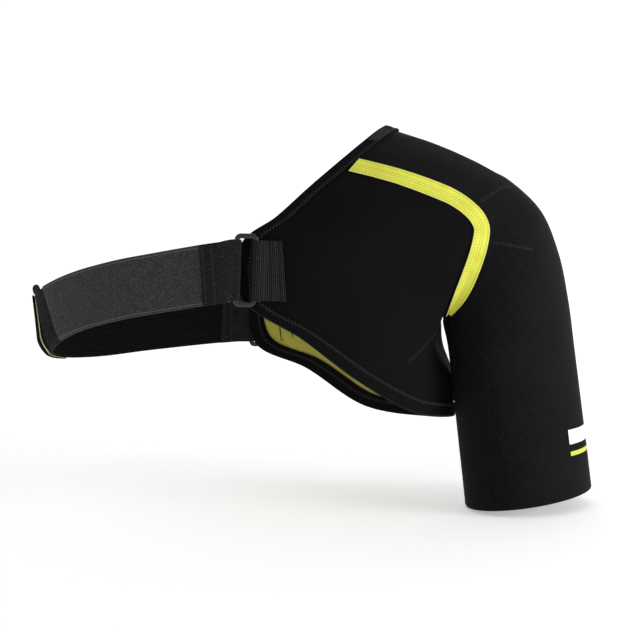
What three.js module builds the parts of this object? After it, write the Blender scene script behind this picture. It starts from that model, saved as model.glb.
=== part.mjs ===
// Shoulder brace: a neoprene sleeve with a shoulder cap, chest and back panels, and a strap round the chest.
// Millimetres. X runs to the left arm's side, Y to the back, Z up. The origin is inside the top of the shoulder.

import * as THREE from 'three';
import { mergeVertices } from 'three/addons/utils/BufferGeometryUtils.js';

// Sleeve and shoulder
const sleeveDrop = 288; // origin down to the hem
const sleeveReach = 91; // origin out to the hem's outer side
const sleeveWidth = 110; // sleeve from side to side
const sleeveDepth = 104; // sleeve from front to back
const shoulderDepth = 124; // shoulder from front to back, at the armhole seam
const armpitDrop = 127; // origin down to the armpit
const armpitInset = 42; // origin in to the armpit
const sleeveWall = 3; // neoprene of the sleeve

// Panels
const panelReach = 200; // origin in to the ends of both panels
const chestDepth = 220; // front tip to back tip
const panelDrop = 215; // origin down to the lowest edge under the arm
const panelWall = 2.6; // neoprene of the panels
const liningWall = 0.8; // lime lining cloth
const seamGap = 0.3; // clearance between sewn pieces
const bulge = 8; // how far the panels round outwards

// Tapes and bindings
const tapeWidth = 15;
const tapeThickness = 0.8;
const tapeSlant = 6; // the front tape's start follows the neck binding: more length at its lower edge
const tapeGap = 0.85; // clearance under a tape that crosses two pieces
const creaseLift = 0.9; // more clearance where the tape crosses the armpit's crease
const bindingWidth = 10.5;
const bindingThickness = 0.9;
const neckTabAngle = 14; // where the neck tab starts, in degrees from the shoulder top
const neckTabThickness = 1.6;

// Rings, webbing and straps
const strapWidth = 48;
const strapClearance = 0.5; // between straps that lie on each other
const webbingThickness = 1.3;
const strapThickness = 1.8;
const elasticThickness = 1.6;
const ringBar = 4; // width of a ring's bars
const ringDepth = 3; // thickness of a ring
const ringOpening = 10.5; // inside width of a ring
const ringClearance = 1; // strap edge to ring, each side
const ringCorner = 5;
const frontTabLength = 23.5; // front ring tab on the panel
const backTabLength = 26;
const frontRingOut = -5.5; // ring's middle past the front tip's edge
const backRingOut = -6;
const frontRunDrop = 3; // the strap's drop at the far end of the front webbing
const webbingLoopLength = 28;
const chestReach = 394; // origin in to the strap's outer turn
const closureThickness = 2;
const closureLiningThickness = 0.7;
const closureLength = 62; // closure tab along the strap
const closureOverhang = 1; // closure tab past the strap's edge, each side
const pullRadius = 4.2;

// Mesh fineness
const columnStep = 7.5; // degrees round the armhole
const strapSteps = 26;

const black = new THREE.Color(0x17171a);
const bindingBlack = new THREE.Color(0x0c0c10);
const lime = new THREE.Color(0xdfe35a);
const paleLime = new THREE.Color(0xc4c088);
const greyLoop = new THREE.Color(0x3a3a3c);
const webbingBlack = new THREE.Color(0x222224);
const plasticBlack = new THREE.Color(0x101012);

// Sleeve sections from the hem up to the armhole seam. Over and under are the outer and the armpit side:
// out as shares of sleeveReach and armpitInset, drop as shares of sleeveDrop and armpitDrop. Depth runs from
// sleeveDepth (0) to shoulderDepth (1), twist moves the front inwards, as a share of sleeveWidth, and pit says how
// far the under side follows the armpit (1) and not sleeveWidth (0).
const sleeveSections = [
  { name: 'hem', overOut: 1.0, overDrop: 0.9675, underIn: 0.45, pit: 0, underDrop: 2.306, depth: 0.0, twist: 0.11 },
  { name: 'forearm_side', overOut: 0.905, overDrop: 0.755, underIn: 0.67, pit: 0, underDrop: 1.732, depth: 0.0, twist: 0.11 },
  { name: 'biceps', overOut: 0.805, overDrop: 0.531, underIn: 0.87, pit: 0, underDrop: 1.19, depth: 0.15, twist: 0.09 },
  { name: 'below_armpit', overOut: 0.742, overDrop: 0.395, underIn: 0.945, pit: 0.5, underDrop: 1.045, depth: 0.3, twist: 0.06 },
  { name: 'deltoid', overOut: 0.64, overDrop: 0.249, underIn: 0.975, pit: 1, underDrop: 1.008, depth: 0.55, twist: 0.03 },
  { name: 'cap', overOut: 0.46, overDrop: 0.122, underIn: 1.0, pit: 1, underDrop: 0.996, depth: 0.8, twist: 0.0 },
  { name: 'seam', overOut: 0.14, overDrop: 0.028, underIn: 1.03, pit: 1, underDrop: 0.998, depth: 1.0, twist: 0.0 },
];

// The panels' free edge, a row each 18 degrees, from the shoulder top by the front, the armpit and the back.
// in: share of panelReach, side: share of half of chestDepth, drop: share of panelDrop. Shares of bulge: round
// along the whole run, tuck next to the armpit and swell nearer the edge.
const edgeRows = [
  { name: 'shoulder_top', in: 0.45, side: 0.0, drop: -0.163, round: 0.2, tuck: 0.0, swell: 0.0 },
  { name: 'neck_front_1', in: 0.49, side: -0.27, drop: -0.148, round: 0.8, tuck: 0.0, swell: 0.0 },
  { name: 'neck_front_2', in: 0.605, side: -0.545, drop: -0.066, round: 1.2, tuck: 0.0, swell: 0.0 },
  { name: 'neck_front_3', in: 0.775, side: -0.77, drop: 0.065, round: 1.1, tuck: 0.0, swell: 0.3 },
  { name: 'neck_front_4', in: 0.905, side: -0.93, drop: 0.172, round: 1.1, tuck: 0.0, swell: 0.5 },
  { name: 'front_tip_top', in: 1.04, side: -1.0, drop: 0.268, round: 0.9, tuck: 0.0, swell: 0.7 },
  { name: 'front_tip_low', in: 1.045, side: -1.0, drop: 0.463, round: 0.6, tuck: 0.0, swell: 0.7 },
  { name: 'low_front_1', in: 0.8, side: -0.96, drop: 0.622, round: 0.5, tuck: 0.0, swell: 0.3 },
  { name: 'low_front_2', in: 0.575, side: -0.85, drop: 0.785, round: 0.5, tuck: 0.0, swell: 0.0 },
  { name: 'low_front_3', in: 0.345, side: -0.55, drop: 0.925, round: 0.2, tuck: -0.3, swell: 0.0 },
  { name: 'under_arm', in: 0.15, side: 0.1, drop: 1.0, round: 0.0, tuck: -0.65, swell: 0.5 },
  { name: 'low_back_3', in: 0.23, side: 0.6, drop: 1.045, round: 0.4, tuck: 0.2, swell: 1.4 },
  { name: 'low_back_2', in: 0.52, side: 0.84, drop: 1.016, round: 0.8, tuck: 0.0, swell: 0.0 },
  { name: 'low_back_1', in: 0.79, side: 0.95, drop: 0.862, round: 0.6, tuck: 0.0, swell: 0.3 },
  { name: 'back_tip_low', in: 1.03, side: 1.0, drop: 0.757, round: 0.8, tuck: 0.0, swell: 0.7 },
  { name: 'back_tip_top', in: 1.045, side: 1.0, drop: 0.53, round: 1.0, tuck: 0.0, swell: 0.7 },
  { name: 'neck_back_4', in: 0.93, side: 0.93, drop: 0.36, round: 1.1, tuck: 0.0, swell: 0.5 },
  { name: 'neck_back_3', in: 0.775, side: 0.79, drop: 0.2, round: 1.1, tuck: 0.0, swell: 0.3 },
  { name: 'neck_back_2', in: 0.615, side: 0.57, drop: 0.0, round: 1.2, tuck: 0.0, swell: 0.0 },
  { name: 'neck_back_1', in: 0.495, side: 0.29, drop: -0.125, round: 0.8, tuck: 0.0, swell: 0.0 },
];

// Armhole seam: how far each angle's seam lies from the sleeve's seam section (0) to the free edge (1)
const seamRows = [
  { angle: 41.5, share: 1.0 },
  { angle: 46.5, share: 0.7 },
  { angle: 53.5, share: 0.45 },
  { angle: 61.5, share: 0.27 },
  { angle: 71, share: 0.13 },
  { angle: 81, share: 0.07 },
  { angle: 110, share: 0.005 },
  { angle: 150, share: -0.045 },
];
const seamStart = seamRows[0].angle;
const seamEnd = 150; // where a tape ends at the armpit
const sideSeamAngle = 146; // where the side seam meets the free edge
const sideSeamLean = 16; // further round at the armhole

// Strap route between the rings. in: share of chestReach, side: share of half of chestDepth, drop: share of panelDrop
const strapRows = [
  { name: 'front_2', in: 0.7, side: -0.955, drop: 0.414 },
  { name: 'front_3', in: 0.787, side: -0.85, drop: 0.447 },
  { name: 'front_4', in: 0.88, side: -0.66, drop: 0.499 },
  { name: 'front_5', in: 0.954, side: -0.4, drop: 0.566 },
  { name: 'side_turn', in: 0.992, side: -0.06, drop: 0.625 },
  { name: 'back_5', in: 0.965, side: 0.29, drop: 0.667 },
  { name: 'back_4', in: 0.885, side: 0.6, drop: 0.684 },
  { name: 'back_3', in: 0.775, side: 0.84, drop: 0.674 },
];
const turnLean = 8; // lean of the strap's outer turn, top outwards, in degrees
const turnRow = 6; // strap row of the outer turn
const closureEndRow = 5.75; // strap row where the closure tab's free end lies
const loopEndRow = 4.95; // strap row where the grey strap ends

// Grid helpers

/** Closed solid from a grid of outer points and the matching inner points, round a loop or open. */
function gridSolid(outer, inner, closedAround) {
  const columns = outer.length;
  const rows = outer[0].length;
  const positions = [];
  for (const grid of [outer, inner]) {
    for (const column of grid) {
      for (const p of column) positions.push(p.x, p.y, p.z);
    }
  }
  const at = (side, i, j) => side * columns * rows + (i % columns) * rows + j;
  const index = [];
  const quad = (a, b, c, d) => index.push(a, b, c, a, c, d);
  const spans = closedAround ? columns : columns - 1;
  for (let i = 0; i < spans; i++) {
    for (let j = 0; j < rows - 1; j++) {
      quad(at(0, i, j), at(0, i + 1, j), at(0, i + 1, j + 1), at(0, i, j + 1));
      quad(at(1, i, j), at(1, i, j + 1), at(1, i + 1, j + 1), at(1, i + 1, j));
    }
    quad(at(0, i, 0), at(1, i, 0), at(1, i + 1, 0), at(0, i + 1, 0));
    quad(at(0, i, rows - 1), at(0, i + 1, rows - 1), at(1, i + 1, rows - 1), at(1, i, rows - 1));
  }
  if (!closedAround) {
    const last = columns - 1;
    for (let j = 0; j < rows - 1; j++) {
      quad(at(0, 0, j), at(0, 0, j + 1), at(1, 0, j + 1), at(1, 0, j));
      quad(at(0, last, j), at(1, last, j), at(1, last, j + 1), at(0, last, j + 1));
    }
  }
  return solidGeometry(positions, index);
}

/** Solid swept through rings of section points, with flat ends; the section is a U of two legs and a back. */
function channelSolid(rings) {
  const size = rings[0].length;
  const positions = [];
  for (const ring of rings) {
    for (const p of ring) positions.push(p.x, p.y, p.z);
  }
  const index = [];
  for (let i = 0; i < rings.length - 1; i++) {
    for (let k = 0; k < size; k++) {
      const l = (k + 1) % size;
      index.push(i * size + k, (i + 1) * size + k, (i + 1) * size + l);
      index.push(i * size + k, (i + 1) * size + l, i * size + l);
    }
  }
  const legs = size / 2 - 1;
  for (const [ring, flip] of [[0, false], [rings.length - 1, true]]) {
    const base = ring * size;
    for (let k = 0; k < legs; k++) {
      const quad = [base + k, base + k + 1, base + size - 2 - k, base + size - 1 - k];
      if (flip) quad.reverse();
      index.push(quad[0], quad[1], quad[2], quad[0], quad[2], quad[3]);
    }
  }
  return solidGeometry(positions, index);
}

/** Geometry with its faces pointing out. */
function solidGeometry(positions, index) {
  let volume = 0;
  const a = new THREE.Vector3();
  const b = new THREE.Vector3();
  const c = new THREE.Vector3();
  for (let i = 0; i < index.length; i += 3) {
    a.fromArray(positions, index[i] * 3);
    b.fromArray(positions, index[i + 1] * 3);
    c.fromArray(positions, index[i + 2] * 3);
    volume += a.dot(b.cross(c));
  }
  if (volume < 0) {
    for (let i = 0; i < index.length; i += 3) [index[i], index[i + 1]] = [index[i + 1], index[i]];
  }
  const geometry = new THREE.BufferGeometry();
  geometry.setAttribute('position', new THREE.Float32BufferAttribute(positions, 3));
  geometry.setIndex(index);
  return geometry;
}

// The brace's outer surface, over the angle round the armhole and the run from the hem (0) to the free edge (1)

const edgeCurve = new THREE.CatmullRomCurve3(
  edgeRows.map((r) => new THREE.Vector3(-r.in * panelReach, r.side * chestDepth / 2, -r.drop * panelDrop)),
  true,
  'centripetal',
);

/** Value of a column of the edge's table at an angle, eased from row to row. */
function edgeValue(column, angle) {
  const place = (angle / 360) * edgeRows.length;
  const i = Math.floor(place) % edgeRows.length;
  const j = (i + 1) % edgeRows.length;
  const s = THREE.MathUtils.smoothstep(place - Math.floor(place), 0, 1);
  return THREE.MathUtils.lerp(edgeRows[i][column], edgeRows[j][column], s);
}

function sectionPoint(row, angle) {
  const a = THREE.MathUtils.degToRad(angle);
  const over = new THREE.Vector3(row.overOut * sleeveReach, 0, -row.overDrop * sleeveDrop);
  const underOut = THREE.MathUtils.lerp(over.x - sleeveWidth, -row.underIn * armpitInset, row.pit);
  const under = new THREE.Vector3(underOut, 0, -row.underDrop * armpitDrop);
  const half = THREE.MathUtils.lerp(sleeveDepth, shoulderDepth, row.depth) / 2;
  const p = over.clone().add(under).multiplyScalar(0.5);
  p.addScaledVector(over.sub(under), Math.cos(a) / 2);
  p.y -= half * Math.sin(a);
  p.x -= row.twist * sleeveWidth * Math.sin(a);
  return p;
}

// Loops between the armhole seam and the free edge: place on the run, and the column that shapes each
const panelSteps = [
  { share: 0.12, column: 'tuck' },
  { share: 0.3, column: 'tuck' },
  { share: 0.65, column: 'swell' },
];
const seamRun = (sleeveSections.length - 1) / (sleeveSections.length + panelSteps.length);

function meridian(angle) {
  const points = sleeveSections.map((row) => sectionPoint(row, angle));
  const start = points[points.length - 1];
  const end = edgeCurve.getPoint((((angle % 360) + 360) % 360) / 360);
  const turn = new THREE.Vector3()
    .subVectors(edgeCurve.getPoint(((angle + 362) % 360) / 360), edgeCurve.getPoint(((angle + 358) % 360) / 360));
  const outward = end.clone().sub(start).cross(turn).normalize();
  const turned = (angle + 360) % 360;
  for (const { share, column } of panelSteps) {
    const rise = 4 * share * (1 - share) * edgeValue('round', turned) + edgeValue(column, turned);
    points.push(start.clone().lerp(end, share).addScaledVector(outward, rise * bulge));
  }
  points.push(end);
  return new THREE.CatmullRomCurve3(points, false, 'centripetal');
}

const meridians = new Map();
function surface(angle, run) {
  const key = Math.round(angle * 1000);
  if (!meridians.has(key)) meridians.set(key, meridian(angle));
  return meridians.get(key).getPoint(Math.min(Math.max(run, 0), 1));
}

function surfaceNormal(angle, run) {
  const low = Math.max(run - 0.004, 0);
  const high = Math.min(run + 0.004, 1);
  const along = surface(angle, high).sub(surface(angle, low));
  const round = surface(angle + 0.5, run).sub(surface(angle - 0.5, run));
  return along.cross(round).normalize();
}

/** Slope of the seam at a row of its table: the mean of the slopes on both sides. */
function seamSlope(i) {
  const slopes = [i, i + 1].filter((k) => k > 0 && k < seamRows.length).map((k) => {
    return (seamRows[k].share - seamRows[k - 1].share) / (seamRows[k].angle - seamRows[k - 1].angle);
  });
  return slopes.reduce((sum, slope) => sum + slope, 0) / slopes.length;
}

function seamShare(angle) {
  const a = Math.abs(angle > 180 ? 360 - angle : angle);
  const last = seamRows[seamRows.length - 1];
  if (a <= seamStart) return 1;
  if (a >= last.angle) return last.share;
  const i = seamRows.findIndex((row) => row.angle >= a);
  const width = seamRows[i].angle - seamRows[i - 1].angle;
  const s = (a - seamRows[i - 1].angle) / width;
  const rise = seamRows[i].share - seamRows[i - 1].share;
  const turnIn = seamSlope(i - 1) * width - rise;
  const turnOut = rise - seamSlope(i) * width;
  const straight = seamRows[i - 1].share + rise * s;
  return straight + s * (1 - s) * (turnIn * (1 - s) + turnOut * s);
}

const seamAt = (angle) => seamRun + seamShare(angle) * (1 - seamRun);

/** Run that lies a length in millimetres further along the meridian. */
function runAfter(angle, run, length) {
  const step = 0.01;
  const a = Math.min(Math.max(run, step), 1 - step);
  const speed = surface(angle, a + step).distanceTo(surface(angle, a - step)) / (2 * step);
  return run + length / speed;
}

const offset = (angle, run, height) => surface(angle, run).addScaledVector(surfaceNormal(angle, run), height);

// Column angles: an even step, finer where the seam runs out to the neck edge
const fineAngles = [seamStart + 1, seamStart + 3];
for (const row of seamRows.filter((r) => r.angle < 90)) fineAngles.push(row.angle);
const columnAngles = fineAngles.flatMap((a) => [a, 360 - a]);
for (let a = 0; a < 360; a += columnStep) {
  if (columnAngles.every((b) => Math.abs(a - b) > columnStep / 4)) columnAngles.push(a);
}
const columns = [...new Set(columnAngles)].sort((a, b) => a - b);

/** Column angles strictly between two angles, with both ends; angles may run past the shoulder top. */
function between(from, to) {
  const turned = [...columns.map((a) => a - 360), ...columns];
  return [from, ...turned.filter((a) => a > from + 0.5 && a < to - 0.5), to];
}

const sleeveRows = 13;
const panelRows = 8;

function sleeveGrid(height) {
  return columns.map((a) => {
    const end = seamAt(a);
    const bound = end === 1 ? runAfter(a, 1, -bindingWidth) : end * (1 - 1.2 / sleeveRows);
    const runs = Array.from({ length: sleeveRows - 1 }, (_, k) => bound * k / (sleeveRows - 2));
    runs.push((bound + end) / 2, end);
    return runs.map((run) => offset(a, run, height));
  });
}

/** Grid of a panel. Its columns lean towards the side seam, and a row lies at the binding's inner edge. */
function panelGrid(panel, height) {
  return between(panel.from, panel.to).map((a) => {
    const near = (a - panel.open) / (panel.seam - panel.open);
    const lean = near > 0 ? sideSeamLean * near ** 2 : 0;
    const start = runAfter(a, seamAt(a), seamShare(a) > 0.01 ? 4 * seamGap : 2 * seamGap);
    const binding = Math.max(runAfter(a, 1, -bindingWidth), start + (1 - start) * 0.5);
    const runs = Array.from({ length: panelRows - 1 }, (_, k) => start + (binding - start) * k / (panelRows - 2));
    runs.push((1 + binding) / 2, 1);
    return runs.map((run) => offset(a + lean * (1 - run) / (1 - start), run, height));
  });
}

const sideGap = 0.25; // half of the side seam's clearance, in degrees
const frontPanel = { from: seamStart + 1, to: sideSeamAngle - sideGap, open: 85, seam: sideSeamAngle };
const backPanel = { from: sideSeamAngle + sideGap, to: 359 - seamStart, open: 235, seam: sideSeamAngle };
const liningTop = -panelWall - seamGap;
const liningBottom = liningTop - liningWall;

function makeSleeve() {
  return gridSolid(sleeveGrid(0), sleeveGrid(-sleeveWall), true);
}

const makePanel = (panel) => gridSolid(panelGrid(panel, 0), panelGrid(panel, -panelWall), false);

const makeLining = (panel) => gridSolid(panelGrid(panel, liningTop), panelGrid(panel, liningBottom), false);

/** U-shaped binding folded over the free edge between two angles. */
function makeBinding(from, to) {
  const rings = between(from, to).map((a) => {
    const leg = runAfter(a, 1, -bindingWidth);
    const outer = tapeGap;
    const innerWall = seamShare(a) === 1 ? -sleeveWall : liningBottom;
    const inner = Math.min(innerWall, liningBottom) - tapeGap;
    const legInner = offset(a, leg, 0);
    const edge = offset(a, 1, 0);
    const out = edge.clone().sub(legInner).normalize();
    const top = outer + bindingThickness;
    const bottom = inner - bindingThickness;
    const past = (h, d) => offset(a, 1, h).addScaledVector(out, d);
    return [
      offset(a, leg, top), offset(a, (leg + 1) / 2, top), past(top, tapeGap + bindingThickness),
      past(bottom, tapeGap + bindingThickness), offset(a, (leg + 1) / 2, bottom), offset(a, leg, bottom),
      offset(a, leg, inner), offset(a, (leg + 1) / 2, inner), past(inner, tapeGap),
      past(outer, tapeGap), offset(a, (leg + 1) / 2, outer), offset(a, leg, outer),
    ];
  });
  return channelSolid(rings);
}

/** Place on the surface a length away from a start, along a direction, walked in short steps. */
function walk(angle, run, direction, length) {
  const steps = 8;
  let a = angle;
  let t = run;
  for (let k = 0; k < steps; k++) {
    const da = surface(a + 0.5, t).sub(surface(a - 0.5, t));
    const high = Math.min(t + 0.004, 1);
    const low = Math.max(t - 0.004, 0);
    const dt = surface(a, high).sub(surface(a, low)).multiplyScalar(1 / (high - low));
    const step = direction.clone().multiplyScalar(length / steps);
    const aa = da.dot(da);
    const tt = dt.dot(dt);
    const at = da.dot(dt);
    const det = aa * tt - at * at;
    a += (tt * da.dot(step) - at * dt.dot(step)) / det;
    t = Math.min(t + (aa * dt.dot(step) - at * da.dot(step)) / det, 1);
  }
  return [a, t];
}

const tapeAngles = [seamStart + 1.2, seamStart + 2.5];
for (let a = seamStart + 4; a < 86; a += 4) tapeAngles.push(a);
for (let a = 90; a < seamEnd; a += columnStep) tapeAngles.push(a);
tapeAngles.push(seamEnd);

/** Lime tape centred on the armhole seam, front (1) or back (-1). */
function makeTape(face) {
  const angleAt = (a) => (face > 0 ? a : 360 - a);
  const stations = [];
  for (const a of tapeAngles) stations.push([angleAt(a), seamAt(a)]);
  const across = [-0.5, -0.25, 0, 0.25, 0.5];
  const grids = [tapeGap + tapeThickness, tapeGap].map((height) => stations.map(([a, t], i) => {
    const [a0, t0] = stations[Math.max(i - 1, 0)];
    const [a1, t1] = stations[Math.min(i + 1, stations.length - 1)];
    const along = surface(a1, t1).sub(surface(a0, t0)).normalize();
    const side = surfaceNormal(a, t).cross(along).normalize();
    const turned = face > 0 ? a : 360 - a;
    const crease = creaseLift * THREE.MathUtils.smoothstep(turned, 100, seamEnd);
    const nearStart = face > 0 ? 1 - THREE.MathUtils.smoothstep(turned, seamStart, seamStart + 6) : 0;
    return across.map((w) => {
      const step = side.clone().multiplyScalar(w * tapeWidth);
      step.addScaledVector(along, -nearStart * tapeSlant * (0.5 - w));
      return offset(...walk(a, t, step, 1), height + crease);
    });
  }));
  return gridSolid(grids[0], grids[1], false);
}

// Rings, straps and webbing

const bindingTop = tapeGap + bindingThickness;
const ringLift = bindingTop + seamGap + webbingThickness + seamGap + ringDepth / 2; // ring above the panel
const barCentre = ringOpening / 2 + ringBar / 2;
const frontTipAngle = 99;
const backTipAngle = 261;

/** Frame of the ring at a panel's tip; `along` points to the strap, and `out` is how far past the edge it lies. */
function ringFrame(angle, out) {
  const outward = surfaceNormal(angle, 1);
  const across = surface(angle - 5, 1).sub(surface(angle + 5, 1));
  across.addScaledVector(outward, -across.dot(outward)).normalize();
  if (across.z < 0) across.negate();
  const along = outward.clone().cross(across);
  if (along.x > 0) along.negate();
  const p = surface(angle, 1).addScaledVector(outward, ringLift).addScaledVector(along, out);
  return { p, along, across, outward };
}

const frontRing = ringFrame(frontTipAngle, frontRingOut);
const backRing = ringFrame(backTipAngle, backRingOut);
const routePoints = strapRows.map((r) => new THREE.Vector3(
  -r.in * chestReach,
  r.side * chestDepth / 2,
  -r.drop * panelDrop,
));
const straightRun = (ring, drop) => {
  const p = ring.p.clone().addScaledVector(ring.along, webbingLoopLength * 0.8);
  return p.setZ(p.z - drop);
};
const strapCurve = new THREE.CatmullRomCurve3(
  [frontRing.p, straightRun(frontRing, frontRunDrop), ...routePoints, straightRun(backRing, 0), backRing.p],
  false,
  'centripetal',
);
const lastRow = routePoints.length + 3;
const strapAt = (row) => strapCurve.getPoint(Math.min(Math.max(row / lastRow, 0), 1));

/** Frame on the strap's route: outward is away from the chest. */
function routeFrame(row) {
  const p = strapAt(row);
  const along = strapAt(row + 0.05).sub(strapAt(row - 0.05)).normalize();
  const level = new THREE.Vector3(0, 0, 1).addScaledVector(along, -along.z).normalize();
  const lean = turnLean * (1 - THREE.MathUtils.smoothstep(Math.abs(row - turnRow), 0, 3));
  const across = level.applyAxisAngle(along, THREE.MathUtils.degToRad(-lean));
  const outward = across.clone().cross(along).normalize();
  return { p, along, across, outward };
}

/** Row reached after a length in millimetres along the route. */
function rowAfter(row, length) {
  const step = 0.01 * Math.sign(length);
  let place = row;
  let left = Math.abs(length);
  while (left > 0 && place >= 0 && place <= lastRow) {
    left -= strapAt(place).distanceTo(strapAt(place + step));
    place += step;
  }
  return place;
}

/** Band on the strap's route between two rows; `lift` gives its inner face above the route. */
function routeBand(from, to, steps, thickness, lift, width = strapWidth) {
  const grids = [thickness, 0].map((height) => Array.from({ length: steps + 1 }, (_, k) => {
    const row = from + (to - from) * k / steps;
    const { p, across, outward } = routeFrame(row);
    return [-0.5, 0.5].map((w) => p.clone()
      .addScaledVector(across, w * width)
      .addScaledVector(outward, lift(row) + height));
  }));
  return gridSolid(grids[0], grids[1], false);
}

/** Rectangular ring in the plane of the band, its long bars across the strap. */
function makeRing(frame) {
  const hole = [ringOpening / 2, strapWidth / 2 + ringClearance];
  const outline = ([x, y], corner, steps) => {
    const centres = [[x - corner, y - corner], [corner - x, y - corner], [corner - x, corner - y], [x - corner, corner - y]];
    const points = centres.flatMap(([cx, cy], quarter) => Array.from({ length: steps + 1 }, (_, k) => {
      const a = (quarter + k / steps) * Math.PI / 2;
      return new THREE.Vector2(cx + corner * Math.cos(a), cy + corner * Math.sin(a));
    }));
    return points;
  };
  const shape = new THREE.Shape(outline(hole.map((h) => h + ringBar), ringCorner, 4));
  shape.holes.push(new THREE.Path(outline(hole, ringCorner - ringBar, 2)));
  const geometry = new THREE.ExtrudeGeometry(shape, { depth: ringDepth, bevelEnabled: false });
  geometry.translate(0, 0, -ringDepth / 2);
  const turn = new THREE.Matrix4().makeBasis(frame.across.clone().cross(frame.outward), frame.across, frame.outward);
  geometry.applyMatrix4(turn.setPosition(frame.p));
  geometry.deleteAttribute('normal');
  geometry.deleteAttribute('uv');
  return mergeVertices(geometry);
}

/**
 * Webbing folded round one bar of a ring. `reach` points from the bar to the webbing's ends, and `layer`
 * gives the place at a distance from the bar, a share of the width and a side, 1 outside and -1 inside.
 */
function makeFold(frame, reach, length, layer) {
  const bar = frame.p.clone().addScaledVector(frame.along, reach * barCentre);
  const halfWidth = ringBar / 2;
  const halfDepth = ringDepth / 2;
  const layerSteps = 7;
  const distances = Array.from({ length: layerSteps + 1 }, (_, k) => length * k / layerSteps);
  const corner = (height) => [
    [halfWidth + 0.4 * height, halfDepth + seamGap + height],
    [halfWidth + seamGap + height, halfDepth + 0.4 * height],
  ];
  const grids = [webbingThickness, 0].map((height) => {
    const row = (place) => [-0.5, -0.25, 0, 0.25, 0.5].map(place);
    const turn = ([x, y]) => row((w) => bar.clone().addScaledVector(frame.across, w * strapWidth)
      .addScaledVector(frame.along, -reach * x).addScaledVector(frame.outward, y));
    const corners = corner(height);
    return [
      ...distances.toReversed().map((d) => row((w) => layer(d, w, 1, height))),
      ...corners.map(turn),
      ...corners.toReversed().map(([x, y]) => turn([x, -y])),
      ...distances.map((d) => row((w) => layer(d, w, -1, height))),
    ];
  });
  return gridSolid(grids[0], grids[1], false);
}

/** Webbing loop at a strap's end: it closes from the bar to the strap that lies between its layers. */
function makeWebbingLoop(ring, from, direction, thickness) {
  const wide = ringDepth / 2 + seamGap;
  return makeFold(ring, 1, webbingLoopLength, (distance, w, side, height) => {
    const f = routeFrame(rowAfter(from, direction * (barCentre + distance)));
    const ease = THREE.MathUtils.smoothstep(distance, ringBar, ringBar * 4);
    const lift = THREE.MathUtils.lerp(wide, thickness / 2 + strapClearance, ease) + height;
    const far = f.p.addScaledVector(f.across, w * strapWidth).addScaledVector(f.outward, side * lift);
    const near = ring.p.clone().addScaledVector(ring.along, barCentre + distance);
    near.addScaledVector(ring.across, w * strapWidth).addScaledVector(ring.outward, side * lift);
    return near.lerp(far, THREE.MathUtils.smoothstep(distance, ringBar / 2, ringBar * 3));
  });
}

/** Webbing tab that holds a ring: both layers lie on the panel, over its binding. */
function makeRingTab(ring, angle, out, length) {
  return makeFold(ring, -1, length, (distance, w, face, height) => {
    const [a, t] = walk(angle, 1, ring.along.clone().negate(), distance + barCentre - out);
    const onPanel = THREE.MathUtils.smoothstep(distance, bindingWidth, length);
    const base = THREE.MathUtils.lerp(bindingTop, strapClearance, onPanel) + seamGap;
    const spread = THREE.MathUtils.smoothstep(distance, ringBar, bindingWidth);
    const under = webbingThickness + THREE.MathUtils.lerp(ringDepth + 2 * seamGap, seamGap, spread);
    const p = offset(a, t, base + (face > 0 ? under + height : webbingThickness - height));
    return p.addScaledVector(ring.across, w * strapWidth);
  });
}

const elasticTop = -strapThickness / 2 - strapClearance;

/** Height of the elastic's inner face: under the grey strap in front, on the route at the back ring. */
function elasticLift(row) {
  const ease = THREE.MathUtils.smoothstep(row, lastRow - 4, lastRow - 1.5);
  return THREE.MathUtils.lerp(elasticTop - elasticThickness, -elasticThickness / 2, ease);
}

const strapEnd = ringOpening / 2 + ringBar + 5; // strap's end from the ring's middle

const makeFrontStrap = () => routeBand(
  rowAfter(0, strapEnd), loopEndRow, strapSteps, strapThickness, () => -strapThickness / 2,
);

const makeBackStrap = () => routeBand(
  loopEndRow - 0.5, rowAfter(lastRow, -strapEnd), strapSteps, elasticThickness, elasticLift,
);

const closureEnd = rowAfter(closureEndRow, closureLength);
const closureBase = elasticTop + strapClearance;

const makeClosureLining = () => routeBand(
  closureEndRow, closureEnd, 12, closureLiningThickness, () => closureBase, strapWidth,
);

const makeClosureTab = () => routeBand(
  closureEndRow, closureEnd, 12, closureThickness, () => closureBase + closureLiningThickness + seamGap,
  strapWidth + 2 * closureOverhang,
);

/** Rolled corner that stands on the closure tab's upper edge. */
function makePull() {
  const f = routeFrame(closureEndRow + 0.3);
  const geometry = new THREE.SphereGeometry(pullRadius, 12, 8);
  geometry.scale(1, 0.8, 1.15);
  const p = f.p.addScaledVector(f.across, strapWidth / 2 + closureOverhang + seamGap + pullRadius * 1.15);
  p.addScaledVector(f.outward, closureBase + closureLiningThickness + closureThickness / 2);
  geometry.translate(p.x, p.y, p.z);
  geometry.deleteAttribute('normal');
  geometry.deleteAttribute('uv');
  return mergeVertices(geometry);
}

/** Small tab that lies on the neck binding near the shoulder top. */
function makeNeckTab() {
  const angles = [neckTabAngle, neckTabAngle + 5, neckTabAngle + 10, neckTabAngle + 15];
  const grids = [neckTabThickness, 0].map((height) => angles.map((a) => [0.1, 0.5, 0.9].map((share) => {
    return offset(a, runAfter(a, 1, -bindingWidth * share), bindingTop + seamGap + height);
  })));
  return gridSolid(grids[0], grids[1], false);
}

const group = new THREE.Group();

function add(name, geometry, color, roughness) {
  const mesh = new THREE.Mesh(geometry, new THREE.MeshStandardMaterial({ color, roughness, metalness: 0 }));
  mesh.name = name;
  group.add(mesh);
}

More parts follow.
